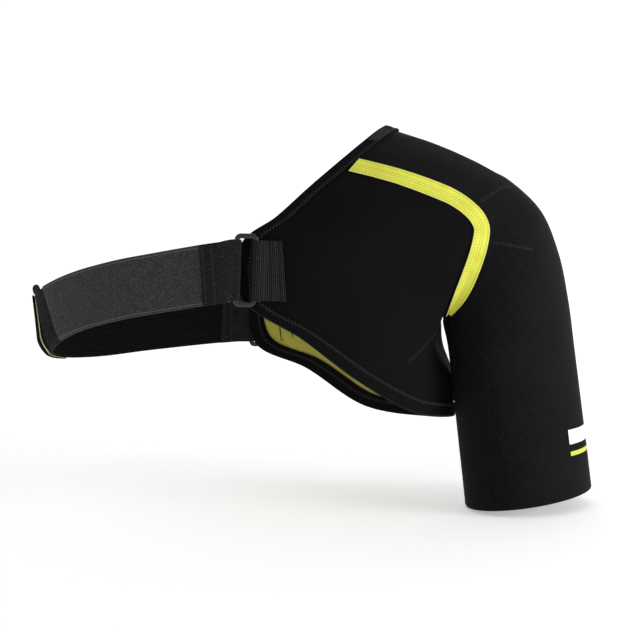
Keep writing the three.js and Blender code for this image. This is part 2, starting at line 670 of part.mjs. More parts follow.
add('sleeve', makeSleeve(), black, 0.85);
add('front_panel', makePanel(frontPanel), black, 0.85);
add('back_panel', makePanel(backPanel), black, 0.85);
add('front_lining', makeLining(frontPanel), lime, 0.8);
add('back_lining', makeLining(backPanel), lime, 0.8);
add('armhole_tape_front', makeTape(1), lime, 0.7);
add('armhole_tape_back', makeTape(-1), lime, 0.7);
add('neck_binding', makeBinding(backTipAngle - 360 + sideGap, frontTipAngle - sideGap), bindingBlack, 0.8);
add('lower_binding', makeBinding(frontTipAngle + sideGap, backTipAngle - sideGap), bindingBlack, 0.8);
add('neck_edge_tab', makeNeckTab(), webbingBlack, 0.8);
add('front_ring', makeRing(frontRing), plasticBlack, 0.35);
add('back_ring', makeRing(backRing), plasticBlack, 0.35);
add('front_ring_tab', makeRingTab(frontRing, frontTipAngle, frontRingOut, frontTabLength), webbingBlack, 0.8);
add('back_ring_tab', makeRingTab(backRing, backTipAngle, backRingOut, backTabLength), webbingBlack, 0.8);
add('front_webbing_loop', makeWebbingLoop(frontRing, 0, 1, strapThickness), webbingBlack, 0.8);
add('back_webbing_loop', makeWebbingLoop(backRing, lastRow, -1, elasticThickness), webbingBlack, 0.8);
add('front_strap', makeFrontStrap(), greyLoop, 0.9);
add('back_strap', makeBackStrap(), webbingBlack, 0.85);
add('closure_tab', makeClosureTab(), black, 0.85);
add('closure_tab_lining', makeClosureLining(), paleLime, 0.85);
add('closure_tab_pull', makePull(), webbingBlack, 0.8);

export default group;
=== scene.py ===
# Shoulder brace: cloth, webbing, stitches, rings, materials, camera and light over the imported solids.
# The scene is in metres. The shapes are worked out in millimetres, in the frame of the solids.

import math

import bpy
import numpy as np
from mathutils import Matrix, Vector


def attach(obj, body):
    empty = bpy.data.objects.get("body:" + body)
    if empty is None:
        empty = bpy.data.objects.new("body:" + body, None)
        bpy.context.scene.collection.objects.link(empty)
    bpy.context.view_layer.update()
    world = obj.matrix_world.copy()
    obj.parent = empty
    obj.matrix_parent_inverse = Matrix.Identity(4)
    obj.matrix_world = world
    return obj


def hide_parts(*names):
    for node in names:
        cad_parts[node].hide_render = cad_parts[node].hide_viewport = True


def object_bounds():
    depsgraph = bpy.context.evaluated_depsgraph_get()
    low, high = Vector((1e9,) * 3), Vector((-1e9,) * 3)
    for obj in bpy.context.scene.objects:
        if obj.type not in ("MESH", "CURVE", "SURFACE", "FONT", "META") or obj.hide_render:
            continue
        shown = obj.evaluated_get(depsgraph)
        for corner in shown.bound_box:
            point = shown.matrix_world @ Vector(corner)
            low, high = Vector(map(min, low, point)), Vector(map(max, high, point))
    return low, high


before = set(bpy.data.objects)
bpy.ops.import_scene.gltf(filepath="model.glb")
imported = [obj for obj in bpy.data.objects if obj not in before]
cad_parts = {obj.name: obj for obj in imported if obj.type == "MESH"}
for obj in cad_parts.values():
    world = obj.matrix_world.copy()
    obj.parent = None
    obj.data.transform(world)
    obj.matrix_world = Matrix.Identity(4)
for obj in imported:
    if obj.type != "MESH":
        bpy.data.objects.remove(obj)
cad_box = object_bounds()

MM = 0.001

# Sizes, the same as those of the solids

sleeve_drop = 288
sleeve_reach = 91
sleeve_width = 110
sleeve_depth = 104
shoulder_depth = 124
armpit_drop = 127
armpit_inset = 42
sleeve_wall = 3
panel_reach = 200
chest_depth = 220
panel_drop = 215
panel_wall = 2.6
lining_wall = 0.8
seam_gap = 0.3
bulge = 8
tape_width = 15
tape_thickness = 0.8
tape_gap = 0.85
tape_slant = 6
crease_lift = 0.9
binding_width = 10.5
binding_thickness = 0.9
neck_tab_angle = 14
neck_tab_thickness = 1.6
strap_width = 48
strap_clearance = 0.5
webbing_thickness = 1.3
strap_thickness = 1.8
elastic_thickness = 1.6
ring_bar = 4
ring_depth = 3
ring_opening = 10.5
ring_clearance = 1
ring_corner = 5
front_tab_length = 23.5
back_tab_length = 26
front_ring_out = -5.5
back_ring_out = -6
front_run_drop = 3
webbing_loop_length = 28
chest_reach = 394
closure_thickness = 2
closure_lining_thickness = 0.7
closure_length = 62
closure_overhang = 1
pull_radius = 4.2

# Sleeve sections from the hem to the armhole seam
SECTION_COLUMNS = ("over_out", "over_drop", "under_in", "pit", "under_drop", "depth", "twist")
SLEEVE_SECTIONS = {
    "hem": (1.0, 0.9675, 0.45, 0, 2.306, 0.0, 0.11),
    "forearm_side": (0.905, 0.755, 0.67, 0, 1.732, 0.0, 0.11),
    "biceps": (0.805, 0.531, 0.87, 0, 1.19, 0.15, 0.09),
    "below_armpit": (0.742, 0.395, 0.945, 0.5, 1.045, 0.3, 0.06),
    "deltoid": (0.64, 0.249, 0.975, 1, 1.008, 0.55, 0.03),
    "cap": (0.46, 0.122, 1.0, 1, 0.996, 0.8, 0.0),
    "seam": (0.14, 0.028, 1.03, 1, 0.998, 1.0, 0.0),
}

# Free edge of the panels: a row every 18 degrees, from the shoulder top by the front, armpit and back
EDGE_COLUMNS = ("in", "side", "drop", "round", "tuck", "swell")
EDGE_ROWS = {
    "shoulder_top": (0.45, 0.0, -0.163, 0.2, 0.0, 0.0),
    "neck_front_1": (0.49, -0.27, -0.148, 0.8, 0.0, 0.0),
    "neck_front_2": (0.605, -0.545, -0.066, 1.2, 0.0, 0.0),
    "neck_front_3": (0.775, -0.77, 0.065, 1.1, 0.0, 0.3),
    "neck_front_4": (0.905, -0.93, 0.172, 1.1, 0.0, 0.5),
    "front_tip_top": (1.04, -1.0, 0.268, 0.9, 0.0, 0.7),
    "front_tip_low": (1.045, -1.0, 0.463, 0.6, 0.0, 0.7),
    "low_front_1": (0.8, -0.96, 0.622, 0.5, 0.0, 0.3),
    "low_front_2": (0.575, -0.85, 0.785, 0.5, 0.0, 0.0),
    "low_front_3": (0.345, -0.55, 0.925, 0.2, -0.3, 0.0),
    "under_arm": (0.15, 0.1, 1.0, 0.0, -0.65, 0.5),
    "low_back_3": (0.23, 0.6, 1.045, 0.4, 0.2, 1.4),
    "low_back_2": (0.52, 0.84, 1.016, 0.8, 0.0, 0.0),
    "low_back_1": (0.79, 0.95, 0.862, 0.6, 0.0, 0.3),
    "back_tip_low": (1.03, 1.0, 0.757, 0.8, 0.0, 0.7),
    "back_tip_top": (1.045, 1.0, 0.53, 1.0, 0.0, 0.7),
    "neck_back_4": (0.93, 0.93, 0.36, 1.1, 0.0, 0.5),
    "neck_back_3": (0.775, 0.79, 0.2, 1.1, 0.0, 0.3),
    "neck_back_2": (0.615, 0.57, 0.0, 1.2, 0.0, 0.0),
    "neck_back_1": (0.495, 0.29, -0.125, 0.8, 0.0, 0.0),
}

# Armhole seam: angle, and share of the way from the sleeve's last section to the free edge
SEAM_ANGLES = np.array([41.5, 46.5, 53.5, 61.5, 71.0, 81.0, 110.0, 150.0])
SEAM_SHARES = np.array([1.0, 0.7, 0.45, 0.27, 0.13, 0.07, 0.005, -0.045])
seam_start = 41.5
seam_end = 150
side_seam_angle = 146
side_seam_lean = 16

# Strap route: in, side and drop as shares of chest_reach, half of chest_depth and panel_drop
STRAP_ROWS = {
    "front_2": (0.7, -0.955, 0.414),
    "front_3": (0.787, -0.85, 0.447),
    "front_4": (0.88, -0.66, 0.499),
    "front_5": (0.954, -0.4, 0.566),
    "side_turn": (0.992, -0.06, 0.625),
    "back_5": (0.965, 0.29, 0.667),
    "back_4": (0.885, 0.6, 0.684),
    "back_3": (0.775, 0.84, 0.674),
}
turn_lean = 8
turn_row = 6
closure_end_row = 5.75
loop_end_row = 4.95

# Places between the armhole seam and the free edge that the columns round, tuck and swell shape
PANEL_STEPS = ((0.12, "tuck"), (0.3, "tuck"), (0.65, "swell"))
seam_run = (len(SLEEVE_SECTIONS) - 1) / (len(SLEEVE_SECTIONS) + len(PANEL_STEPS))


# Curves and the brace's outer surface


def unit(v):
    return v / np.maximum(np.linalg.norm(v, axis=-1, keepdims=True), 1e-12)


def smoothstep(x, low, high):
    s = np.clip((np.asarray(x, float) - low) / (high - low), 0, 1)
    return s * s * (3 - 2 * s)


def mix(a, b, s):
    return a + (b - a) * s


def lengths_along(points):
    """Length gone at each point of a line."""
    return np.concatenate([[0], np.cumsum(np.linalg.norm(np.diff(points, axis=0), axis=1))])


def grid_of(along, across):
    """Pairs of two coordinates over the grid that both span."""
    return np.stack(np.broadcast_arrays(along, across), axis=-1)


def spline(points, t, closed=False):
    """Points on centripetal splines: points (N, n, 3), one spline for each t (N,), t from 0 to 1."""
    n = points.shape[1]
    if closed:
        padded = np.concatenate([points[:, -1:], points, points[:, :2]], axis=1)
        place = (t % 1.0) * n
        segment = np.floor(place).astype(int) % n
    else:
        before = 2 * points[:, :1] - points[:, 1:2]
        after = 2 * points[:, -1:] - points[:, -2:-1]
        padded = np.concatenate([before, points, after], axis=1)
        place = t * (n - 1)
        segment = np.clip(np.floor(place).astype(int), 0, n - 2)
    w = (place - np.floor(place) if closed else place - segment)[:, None]
    rows = np.arange(len(t))
    p0, p1, p2, p3 = (padded[rows, segment + k] for k in range(4))
    d0, d1, d2 = (
        np.linalg.norm(b - a, axis=1, keepdims=True) ** 0.5
        for a, b in ((p0, p1), (p1, p2), (p2, p3))
    )
    t1 = ((p1 - p0) / d0 - (p2 - p0) / (d0 + d1) + (p2 - p1) / d1) * d1
    t2 = ((p2 - p1) / d1 - (p3 - p1) / (d1 + d2) + (p3 - p2) / d2) * d1
    return p1 + w * (t1 + w * (3 * (p2 - p1) - 2 * t1 - t2 + w * (2 * (p1 - p2) + t1 + t2)))


EDGE = np.array(list(EDGE_ROWS.values()))
EDGE_POINTS = EDGE[:, :3] * np.array([-panel_reach, chest_depth / 2, -panel_drop])


def edge_point(angle):
    points = np.broadcast_to(EDGE_POINTS, (len(angle), *EDGE_POINTS.shape))
    return spline(points, angle / 360, closed=True)


def edge_value(column, angle):
    values = EDGE[:, EDGE_COLUMNS.index(column)]
    place = (angle % 360) / 360 * len(values)
    i = np.floor(place).astype(int) % len(values)
    return mix(values[i], values[(i + 1) % len(values)], smoothstep(place - np.floor(place), 0, 1))


def section_point(values, angle):
    row = dict(zip(SECTION_COLUMNS, values))
    a = np.radians(angle)
    over = np.array([row["over_out"] * sleeve_reach, 0, -row["over_drop"] * sleeve_drop])
    under_x = mix(over[0] - sleeve_width, -row["under_in"] * armpit_inset, row["pit"])
    under = np.array([under_x, 0, -row["under_drop"] * armpit_drop])
    half = mix(sleeve_depth, shoulder_depth, row["depth"]) / 2
    p = (over + under) / 2 + (over - under) / 2 * np.cos(a)[:, None]
    p[:, 1] -= half * np.sin(a)
    p[:, 0] -= row["twist"] * sleeve_width * np.sin(a)
    return p


def meridians(angle):
    points = [section_point(values, angle) for values in SLEEVE_SECTIONS.values()]
    start = points[-1]
    end = edge_point(angle)
    turn = edge_point(angle + 2) - edge_point(angle - 2)
    outward = unit(np.cross(end - start, turn))
    for share, column in PANEL_STEPS:
        rise = 4 * share * (1 - share) * edge_value("round", angle) + edge_value(column, angle)
        points.append(mix(start, end, share) + outward * (rise * bulge)[:, None])
    points.append(end)
    return np.stack(points, axis=1)


def surface(angle, run):
    """Outer surface at angles round the armhole and runs from the hem (0) to the free edge (1)."""
    angle, run = np.broadcast_arrays(np.asarray(angle, float), np.asarray(run, float))
    flat = spline(meridians(angle.ravel()), np.clip(run.ravel(), 0, 1))
    return flat.reshape(*angle.shape, 3)


def surface_normal(angle, run):
    angle, run = np.broadcast_arrays(np.asarray(angle, float), np.asarray(run, float))
    low = np.maximum(run - 0.004, 0)
    high = np.minimum(run + 0.004, 1)
    along = surface(angle, high) - surface(angle, low)
    around = surface(angle + 0.5, run) - surface(angle - 0.5, run)
    return unit(np.cross(along, around))


def offset(angle, run, height):
    height = np.asarray(height, float)
    return surface(angle, run) + surface_normal(angle, run) * height[..., None]


def speed(angle, run):
    """Millimetres along the meridian for each unit of run."""
    step = 0.01
    middle = np.clip(run, step, 1 - step)
    gone = surface(angle, middle + step) - surface(angle, middle - step)
    return np.linalg.norm(gone, axis=-1) / (2 * step)


def run_after(angle, run, length):
    return run + length / speed(angle, run)


PIECE_SLOPES = np.diff(SEAM_SHARES) / np.diff(SEAM_ANGLES)
MEAN_SLOPES = (PIECE_SLOPES[1:] + PIECE_SLOPES[:-1]) / 2
SEAM_SLOPES = np.concatenate([PIECE_SLOPES[:1], MEAN_SLOPES, PIECE_SLOPES[-1:]])


def seam_share(angle):
    a = np.clip(np.abs(np.where(angle > 180, 360 - angle, angle)), SEAM_ANGLES[0], SEAM_ANGLES[-1])
    i = np.clip(np.searchsorted(SEAM_ANGLES, a), 1, len(SEAM_ANGLES) - 1)
    width = SEAM_ANGLES[i] - SEAM_ANGLES[i - 1]
    s = (a - SEAM_ANGLES[i - 1]) / width
    rise = SEAM_SHARES[i] - SEAM_SHARES[i - 1]
    turn_in = SEAM_SLOPES[i - 1] * width - rise
    turn_out = rise - SEAM_SLOPES[i] * width
    return SEAM_SHARES[i - 1] + rise * s + s * (1 - s) * (turn_in * (1 - s) + turn_out * s)


def seam_at(angle):
    return seam_run + seam_share(angle) * (1 - seam_run)


def walk(angle, run, direction, length):
    """Place on the surface a length away along a direction, in short steps."""
    steps = 8
    a, t, length = np.broadcast_arrays(np.asarray(angle, float), np.asarray(run, float), length)
    a, t = a.copy(), t.copy()
    for _ in range(steps):
        da = surface(a + 0.5, t) - surface(a - 0.5, t)
        high = np.minimum(t + 0.004, 1)
        low = np.maximum(t - 0.004, 0)
        dt = (surface(a, high) - surface(a, low)) / (high - low)[..., None]
        step = direction * (length / steps)[..., None]
        aa = (da * da).sum(-1)
        tt = (dt * dt).sum(-1)
        at = (da * dt).sum(-1)
        det = aa * tt - at * at
        sa = (da * step).sum(-1)
        st = (dt * step).sum(-1)
        a = a + (tt * sa - at * st) / det
        t = np.minimum(t + (aa * st - at * sa) / det, 1)
    return a, t


# Meshes


def make_object(name, vertices, faces, material, nodes=(), uv=None, sharp=50):
    """Mesh object in metres that rides on the brace; uv holds one pair for each vertex."""
    mesh = bpy.data.meshes.new(name)
    mesh.from_pydata(np.asarray(vertices, float) * MM, [], faces)
    if uv is not None:
        layer = mesh.uv_layers.new(name="cloth")
        index = np.empty(len(mesh.loops), dtype=np.int32)
        mesh.loops.foreach_get("vertex_index", index)
        layer.data.foreach_set("uv", np.asarray(uv, float)[index].ravel())
    mesh.validate()
    mesh.shade_smooth()
    mesh.set_sharp_from_angle(angle=math.radians(sharp))
    mesh.materials.append(material)
    piece = bpy.data.objects.new(name, mesh)
    bpy.context.scene.collection.objects.link(piece)
    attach(piece, "root")
    if nodes:
        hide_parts(*nodes)
    return piece


def facing_out(vertices, quads):
    """The quads, turned round where they enclose a negative volume."""
    a, b, c, d = (vertices[quads[:, k]] for k in range(4))
    volume = (a * np.cross(b, c)).sum() + (a * np.cross(c, d)).sum()
    return quads[:, ::-1] if volume < 0 else quads


def quads_between(a, b):
    """Quads between closed rings of vertex numbers and the rings after them."""
    return np.stack([a, b, np.roll(b, -1, axis=-1), np.roll(a, -1, axis=-1)], axis=-1).reshape(-1, 4)


def neighbours(count, closed):
    """Indices of columns and of the columns after them."""
    if closed:
        return slice(None), np.roll(np.arange(count), -1)
    return slice(0, -1), slice(1, None)


def sheet_object(name, outer, inner, material, nodes, uv, closed=False):
    """Closed sheet from an outer and an inner grid whose first and last rows meet in a rounded edge."""
    columns, rows = outer.shape[:2]
    top = np.arange(columns * rows).reshape(columns, rows)
    under = top + columns * rows
    under[:, 0] = top[:, 0]
    under[:, -1] = top[:, -1]
    here, there = neighbours(columns, closed)

    def quads(grid):
        a, b = grid[here], grid[there]
        return np.stack([a[:, :-1], b[:, :-1], b[:, 1:], a[:, 1:]], axis=-1).reshape(-1, 4)

    vertices = np.concatenate([outer.reshape(-1, 3), inner.reshape(-1, 3)])
    faces = np.concatenate([quads(top), quads(under)[:, ::-1]])
    if not closed:
        first = np.stack([top[0, :-1], top[0, 1:], under[0, 1:], under[0, :-1]], axis=-1)
        last = np.stack([top[-1, :-1], under[-1, :-1], under[-1, 1:], top[-1, 1:]], axis=-1)
        faces = np.concatenate([faces, first, last])
    faces = facing_out(vertices, faces)
    used, faces = np.unique(faces, return_inverse=True)
    faces = faces.reshape(-1, 4)
    both = np.concatenate([uv.reshape(-1, 2)] * 2)
    clean = [list(dict.fromkeys(face)) for face in faces.tolist()]
    piece = make_object(name, vertices[used], clean, material, nodes, both[used])
    return piece


def sweep_object(name, rings, material, nodes, closed, sharp):
    """Tube through rings of section points (K, S, 3), closed in a loop or with flat ends."""
    count, size = rings.shape[:2]
    index = np.arange(count * size).reshape(count, size)
    here, there = neighbours(count, closed)
    vertices = rings.reshape(-1, 3)
    faces = facing_out(vertices, quads_between(index[here], index[there])).tolist()
    if not closed:
        for ring, order in ((index[0].tolist(), -1), (index[-1].tolist(), 1)):
            for k in range(size // 2 - 1):
                face = [ring[k], ring[k + 1], ring[size - 2 - k], ring[size - 1 - k]]
                faces.append(face[::order])
    return make_object(name, vertices, faces, material, nodes, sharp=sharp)


ROUNDING = np.radians([0, 25, 50, 90])


def rounded_edges(thickness, count):
    """Distances from a cut edge over its rounding, and the half thicknesses from edge to edge."""
    r = thickness / 2
    rise = r * np.sin(ROUNDING)
    return r * (1 - np.cos(ROUNDING)), np.concatenate([rise, np.full(count - 2, r), rise[::-1]])


def across_rows(width, thickness, count):
    """Places across a band from its middle, and its half thickness at each."""
    edge, half = rounded_edges(thickness, count)
    inset = (width - thickness) / 2
    middle = np.linspace(-inset, inset, count)[1:-1]
    return np.concatenate([-width / 2 + edge, middle, (width / 2 - edge)[::-1]]), half


# Flatlock seams sewn on the neoprene, as angles and runs; the front darts are mirrored at the back
DARTS = {
    "upper_dart": ((51, 0.705), (44, 0.672), (37, 0.645), (30, 0.615), (23, 0.588)),
    "lower_dart": ((80, 0.573), (75, 0.54), (70.5, 0.512), (63, 0.482), (56, 0.458)),
}
UNDERARM_SEAM = ((146, 0.4), (151.5, 0.235), (162, 0.12), (172, 0.0))
groove_depth = 0.4
groove_spread = 1.6

# Zigzag stitches
STITCH_COLUMNS = ("pitch", "width", "radius", "arch")
STITCHES = {
    "seam": (1.5, 3.4, 0.22, 0.3),
    "binding": (1.5, 3.0, 0.24, 0.28),
    "webbing": (0.9, 2.8, 0.26, 0.34),
}


def seam_points(places, count):
    """Angles and runs along a seam."""
    places = np.array(places, float)
    t = np.linspace(0, 1, count)
    rows = np.linspace(0, 1, len(places))
    return np.interp(t, rows, places[:, 0]), np.interp(t, rows, places[:, 1])


DART_LINES = {}
for dart, places in DARTS.items():
    dart_angle, dart_run = seam_points(places, 60)
    DART_LINES["front_" + dart] = (dart_angle, dart_run)
    DART_LINES["back_" + dart] = (360 - dart_angle, dart_run)
PRESSED = [surface(*line) for line in (*DART_LINES.values(), seam_points(UNDERARM_SEAM, 120))]
PRESSED = np.concatenate(PRESSED)


def pressed(place):
    """Depth of the groove that a flatlock seam presses into the neoprene."""
    flat = place.reshape(-1, 3)
    nearest = np.full(len(flat), 1e9)
    for point in PRESSED:
        nearest = np.minimum(nearest, ((flat - point) ** 2).sum(axis=1))
    return (groove_depth * np.exp(-nearest / groove_spread)).reshape(place.shape[:-1])


mm_per_degree = 1.4
mm_per_run = 340


def shell_grids(angle, start, end, rows, top, wall, lean, wave):
    """Grids of a sheet over the surface between two runs, with rounded edges, and its uv in millimetres."""
    edge, half = rounded_edges(wall, rows)
    low = start[:, None] + edge / speed(angle, start)[:, None]
    high = end[:, None] - edge[::-1] / speed(angle, end)[:, None]
    middle = mix(low[:, -1:], high[:, :1], np.linspace(0, 1, rows)[1:-1])
    run = np.concatenate([low, middle, high], axis=1)
    a = angle[:, None] + lean[:, None] * (1 - run) / (1 - start[:, None])
    place = surface(a, run)
    normal = surface_normal(a, run)
    centre = place + normal * (top - wall / 2 + wave(a, run) - pressed(place))[..., None]
    uv = grid_of(a * mm_per_degree, run * mm_per_run)
    return centre + normal * half[:, None], centre - normal * half[:, None], uv


def stitch_row(name, starts, ends, normals, radius, arch, material):
    """Row of stitches: short arched threads from each start to its end."""
    t = np.array([0.0, 0.12, 0.35, 0.65, 0.88, 1.0])
    thick = radius * np.array([0.25, 0.8, 1.0, 1.0, 0.8, 0.25])
    turn = np.radians(np.arange(0, 360, 60))
    along = unit(ends - starts)
    side = unit(np.cross(normals, along))
    up = np.cross(along, side)
    centre = starts[:, None] + (ends - starts)[:, None] * t[:, None]
    centre = centre + normals[:, None] * (arch * (4 * t * (1 - t)) ** 0.7)[:, None]
    circle = (
        side[:, None, None] * np.cos(turn)[:, None] + up[:, None, None] * np.sin(turn)[:, None]
    ) * thick[:, None, None]
    points = centre[:, :, None] + circle
    count, rings, size = points.shape[:3]
    index = np.arange(count * rings * size).reshape(count, rings, size)
    faces = quads_between(index[:, :-1], index[:, 1:]).tolist()
    caps = np.concatenate([index[:, 0, ::-1], index[:, -1]]).tolist()
    return make_object(name, points.reshape(-1, 3), faces + caps, material, sharp=80)


def resample(points, normals, pitch):
    """Points and normals at an even pitch along a line."""
    length = lengths_along(points)
    at = np.linspace(0, length[-1], max(int(length[-1] / pitch), 2))
    p, n = (np.stack([np.interp(at, length, v[:, k]) for k in range(3)], axis=1) for v in (points, normals))
    return p, unit(n)


def zigzag(name, points, normals, kind, material):
    """Zigzag stitches along a line."""
    stitch = dict(zip(STITCH_COLUMNS, STITCHES[kind]))
    p, n = resample(points, normals, stitch["pitch"])
    along = unit(np.gradient(p, axis=0))
    q = p + np.cross(n, along) * (stitch["width"] / 2) * np.where(np.arange(len(p)) % 2, 1, -1)[:, None]
    return stitch_row(name, q[:-1], q[1:], n[:-1], stitch["radius"], stitch["arch"], material)


# Materials

webbing_pitch = 1.4  # ribs of the webbing
tab_pitch = 1.7  # ribs of the ring tabs
tab_groups = 7.2  # grooves between groups of ribs
elastic_pitch = 2.0  # cords of the elastic


class Nodes:
    """Short calls for building a material's node tree."""

    def __init__(self, name):
        self.material = bpy.data.materials.new(name)
        self.material.use_nodes = True
        self.tree = self.material.node_tree
        self.shader = self.tree.nodes["Principled BSDF"]
        self.object = self.tree.nodes.new("ShaderNodeTexCoord").outputs["Object"]
        uv = self.tree.nodes.new("ShaderNodeUVMap")
        uv.uv_map = "cloth"
        parts = self.tree.nodes.new("ShaderNodeSeparateXYZ")
        self.tree.links.new(uv.outputs["UV"], parts.inputs[0])
        self.u, self.v = parts.outputs["X"], parts.outputs["Y"]

    def put(self, socket, value):
        if isinstance(value, bpy.types.NodeSocket):
            self.tree.links.new(value, socket)
        else:
            socket.default_value = value

    def math(self, operation, *values):
        node = self.tree.nodes.new("ShaderNodeMath")
        node.operation = operation
        for socket, value in zip(node.inputs, values):
            self.put(socket, value)
        return node.outputs[0]

    def times(self, *values):
        return self.math("MULTIPLY", *values)

    def plus(self, *values):
        return self.math("ADD", *values)

    def scaled(self, value, factor, extra):
        return self.math("MULTIPLY_ADD", value, factor, extra)

    def sine(self, coordinate, pitch, phase=0.0):
        """Wave from 0 to 1 with a pitch in the coordinate's unit."""
        turned = self.scaled(coordinate, 2 * math.pi / pitch, phase)
        return self.scaled(self.math("SINE", turned), 0.5, 0.5)

    def noise(self, scale, detail=2.0, rough=0.5):
        node = self.tree.nodes.new("ShaderNodeTexNoise")
        self.put(node.inputs["Vector"], self.object)
        node.inputs["Scale"].default_value = scale
        node.inputs["Detail"].default_value = detail
        node.inputs["Roughness"].default_value = rough
        return node.outputs["Fac"]

    def voronoi(self, scale):
        node = self.tree.nodes.new("ShaderNodeTexVoronoi")
        self.put(node.inputs["Vector"], self.object)
        node.inputs["Scale"].default_value = scale
        return node.outputs["Distance"]

    def ramp(self, value, low, high, to_low=0.0, to_high=1.0):
        node = self.tree.nodes.new("ShaderNodeMapRange")
        self.put(node.inputs["Value"], value)
        for name, number in (("From Min", low), ("From Max", high), ("To Min", to_low), ("To Max", to_high)):
            node.inputs[name].default_value = number
        return node.outputs["Result"]

    def blend(self, factor, first, second):
        """Mix of two colours, each a socket, a hexadecimal colour or a linear one."""
        node = self.tree.nodes.new("ShaderNodeMix")
        node.data_type = "RGBA"
        self.put(node.inputs["Factor"], factor)
        for socket, colour in ((node.inputs["A"], first), (node.inputs["B"], second)):
            if isinstance(colour, str):
                colour = srgb(colour)
            self.put(socket, (*colour, 1.0) if isinstance(colour, tuple) else colour)
        return node.outputs["Result"]

    def bump(self, height, distance, strength=1.0, under=None):
        node = self.tree.nodes.new("ShaderNodeBump")
        self.put(node.inputs["Height"], height)
        node.inputs["Distance"].default_value = distance
        node.inputs["Strength"].default_value = strength
        if under is not None:
            self.put(node.inputs["Normal"], under)
        return node.outputs["Normal"]

    def finish(
        self, colour, rough, normal=None, specular=0.3, sheen=0.0, sheen_tint=(1, 1, 1), sheen_rough=0.5
    ):
        """The material, with its colour, roughness, normal, gloss and sheen set."""
        self.put(self.shader.inputs["Base Color"], colour)
        self.put(self.shader.inputs["Roughness"], rough)
        self.shader.inputs["Specular IOR Level"].default_value = specular
        self.shader.inputs["Sheen Weight"].default_value = sheen
        self.shader.inputs["Sheen Roughness"].default_value = sheen_rough
        self.shader.inputs["Sheen Tint"].default_value = (*sheen_tint, 1.0)
        if normal is not None:
            self.put(self.shader.inputs["Normal"], normal)
        return self.material


def srgb(hexadecimal):
    """Linear colour of a hexadecimal one."""
    values = [int(hexadecimal[k : k + 2], 16) / 255 for k in (0, 2, 4)]
    return tuple(v / 12.92 if v <= 0.04045 else ((v + 0.055) / 1.055) ** 2.4 for v in values)


def neoprene(name, deep, mid, light):
    m = Nodes(name)
    knit = m.voronoi(1500)
    fine = m.noise(2600, 2.0, 0.6)
    cloud = m.noise(28, 3.0, 0.55)
    grain = m.noise(420, 3.0, 0.65)
    base = m.blend(m.ramp(cloud, 0.35, 0.65), deep, mid)
    upper = m.blend(m.ramp(grain, 0.4, 0.75), base, light)
    colour = m.blend(m.ramp(knit, 0.1, 0.6, 0.0, 0.5), upper, "040405")
    height = m.plus(m.times(knit, 0.7), m.times(fine, 0.5))
    normal = m.bump(height, 0.00012, 0.6, m.bump(grain, 0.0002, 0.25))
    return m.finish(colour, m.ramp(grain, 0.3, 0.7, 0.78, 0.92), normal, 0.07, 0.015, (0.8, 0.8, 0.85))


def binding_cloth():
    m = Nodes("binding")
    ribs = m.sine(m.u, 0.55)
    threads = m.sine(m.v, 0.4)
    weave = m.times(ribs, threads)
    wear_and_glint_noise = m.noise(500, 3.0, 0.6)
    colour = m.blend(m.times(weave, 0.7), "020203", "0c0c0f")
    colour = m.blend(m.ramp(wear_and_glint_noise, 0.6, 0.74, 0.0, 0.4), colour, "1c1c22")
    normal = m.bump(weave, 0.00015, 0.7)
    return m.finish(colour, 0.8, normal, 0.08, 0.01, (0.7, 0.7, 0.8))


def lime_lining():
    m = Nodes("lime_lining")
    knit = m.times(m.sine(m.u, 0.9), m.sine(m.v, 0.7))
    soft = m.noise(60, 3.0, 0.5)
    grain = m.noise(900, 2.0, 0.6)
    base = m.blend(m.ramp(soft, 0.3, 0.7), "a59d44", "b7af50")
    colour = m.blend(m.ramp(grain, 0.35, 0.7, 0.0, 0.3), base, "7f772c")
    normal = m.bump(m.plus(knit, grain), 0.00012, 0.5)
    return m.finish(colour, 0.85, normal, 0.2, 0.15, (1.0, 1.0, 0.7))


# Rows of needle holes in the tape: place across it, and shift of the holes along it
NEEDLE_ROWS = ((-5.9, 0.0), (-3.9, 1.2), (-1.1, 2.1), (1.1, 0.6), (5.6, 3.0))
needle_pitch = 2.6


def lime_tape():
    """Stretch tape with rows of needle holes: u runs along the tape, v across it from its middle."""
    m = Nodes("lime_tape")
    holes = None
    for row, shift in NEEDLE_ROWS:
        near = m.math("SUBTRACT", m.v, row)
        near = m.times(near, near)
        dash = m.sine(m.u, needle_pitch, shift)
        spot = m.times(m.ramp(near, 0.0, 0.22, 1.0, 0.0), m.ramp(dash, 0.55, 0.9))
        line = m.ramp(near, 0.0, 0.35, 0.28, 0.0)
        spot = m.math("MAXIMUM", spot, line)
        holes = spot if holes is None else m.math("MAXIMUM", holes, spot)
    weave = m.times(m.sine(m.u, 0.8), m.sine(m.v, 0.8))
    soft = m.noise(90, 2.0, 0.5)
    edge = m.ramp(m.math("ABSOLUTE", m.v), 6.8, 7.4)
    base = m.blend(m.ramp(soft, 0.3, 0.7), "cbcc40", "d8da4e")
    base = m.blend(m.times(edge, 0.55), base, "e0dea0")
    base = m.blend(m.times(weave, 0.12), base, "a5a633")
    colour = m.blend(m.times(holes, 0.75), base, "74762a")
    normal = m.bump(weave, 0.00008, 0.5, m.bump(m.math("SUBTRACT", 1.0, holes), 0.0003, 0.7))
    return m.finish(colour, 0.7, normal, 0.3, 0.1, (1.0, 1.0, 0.7))


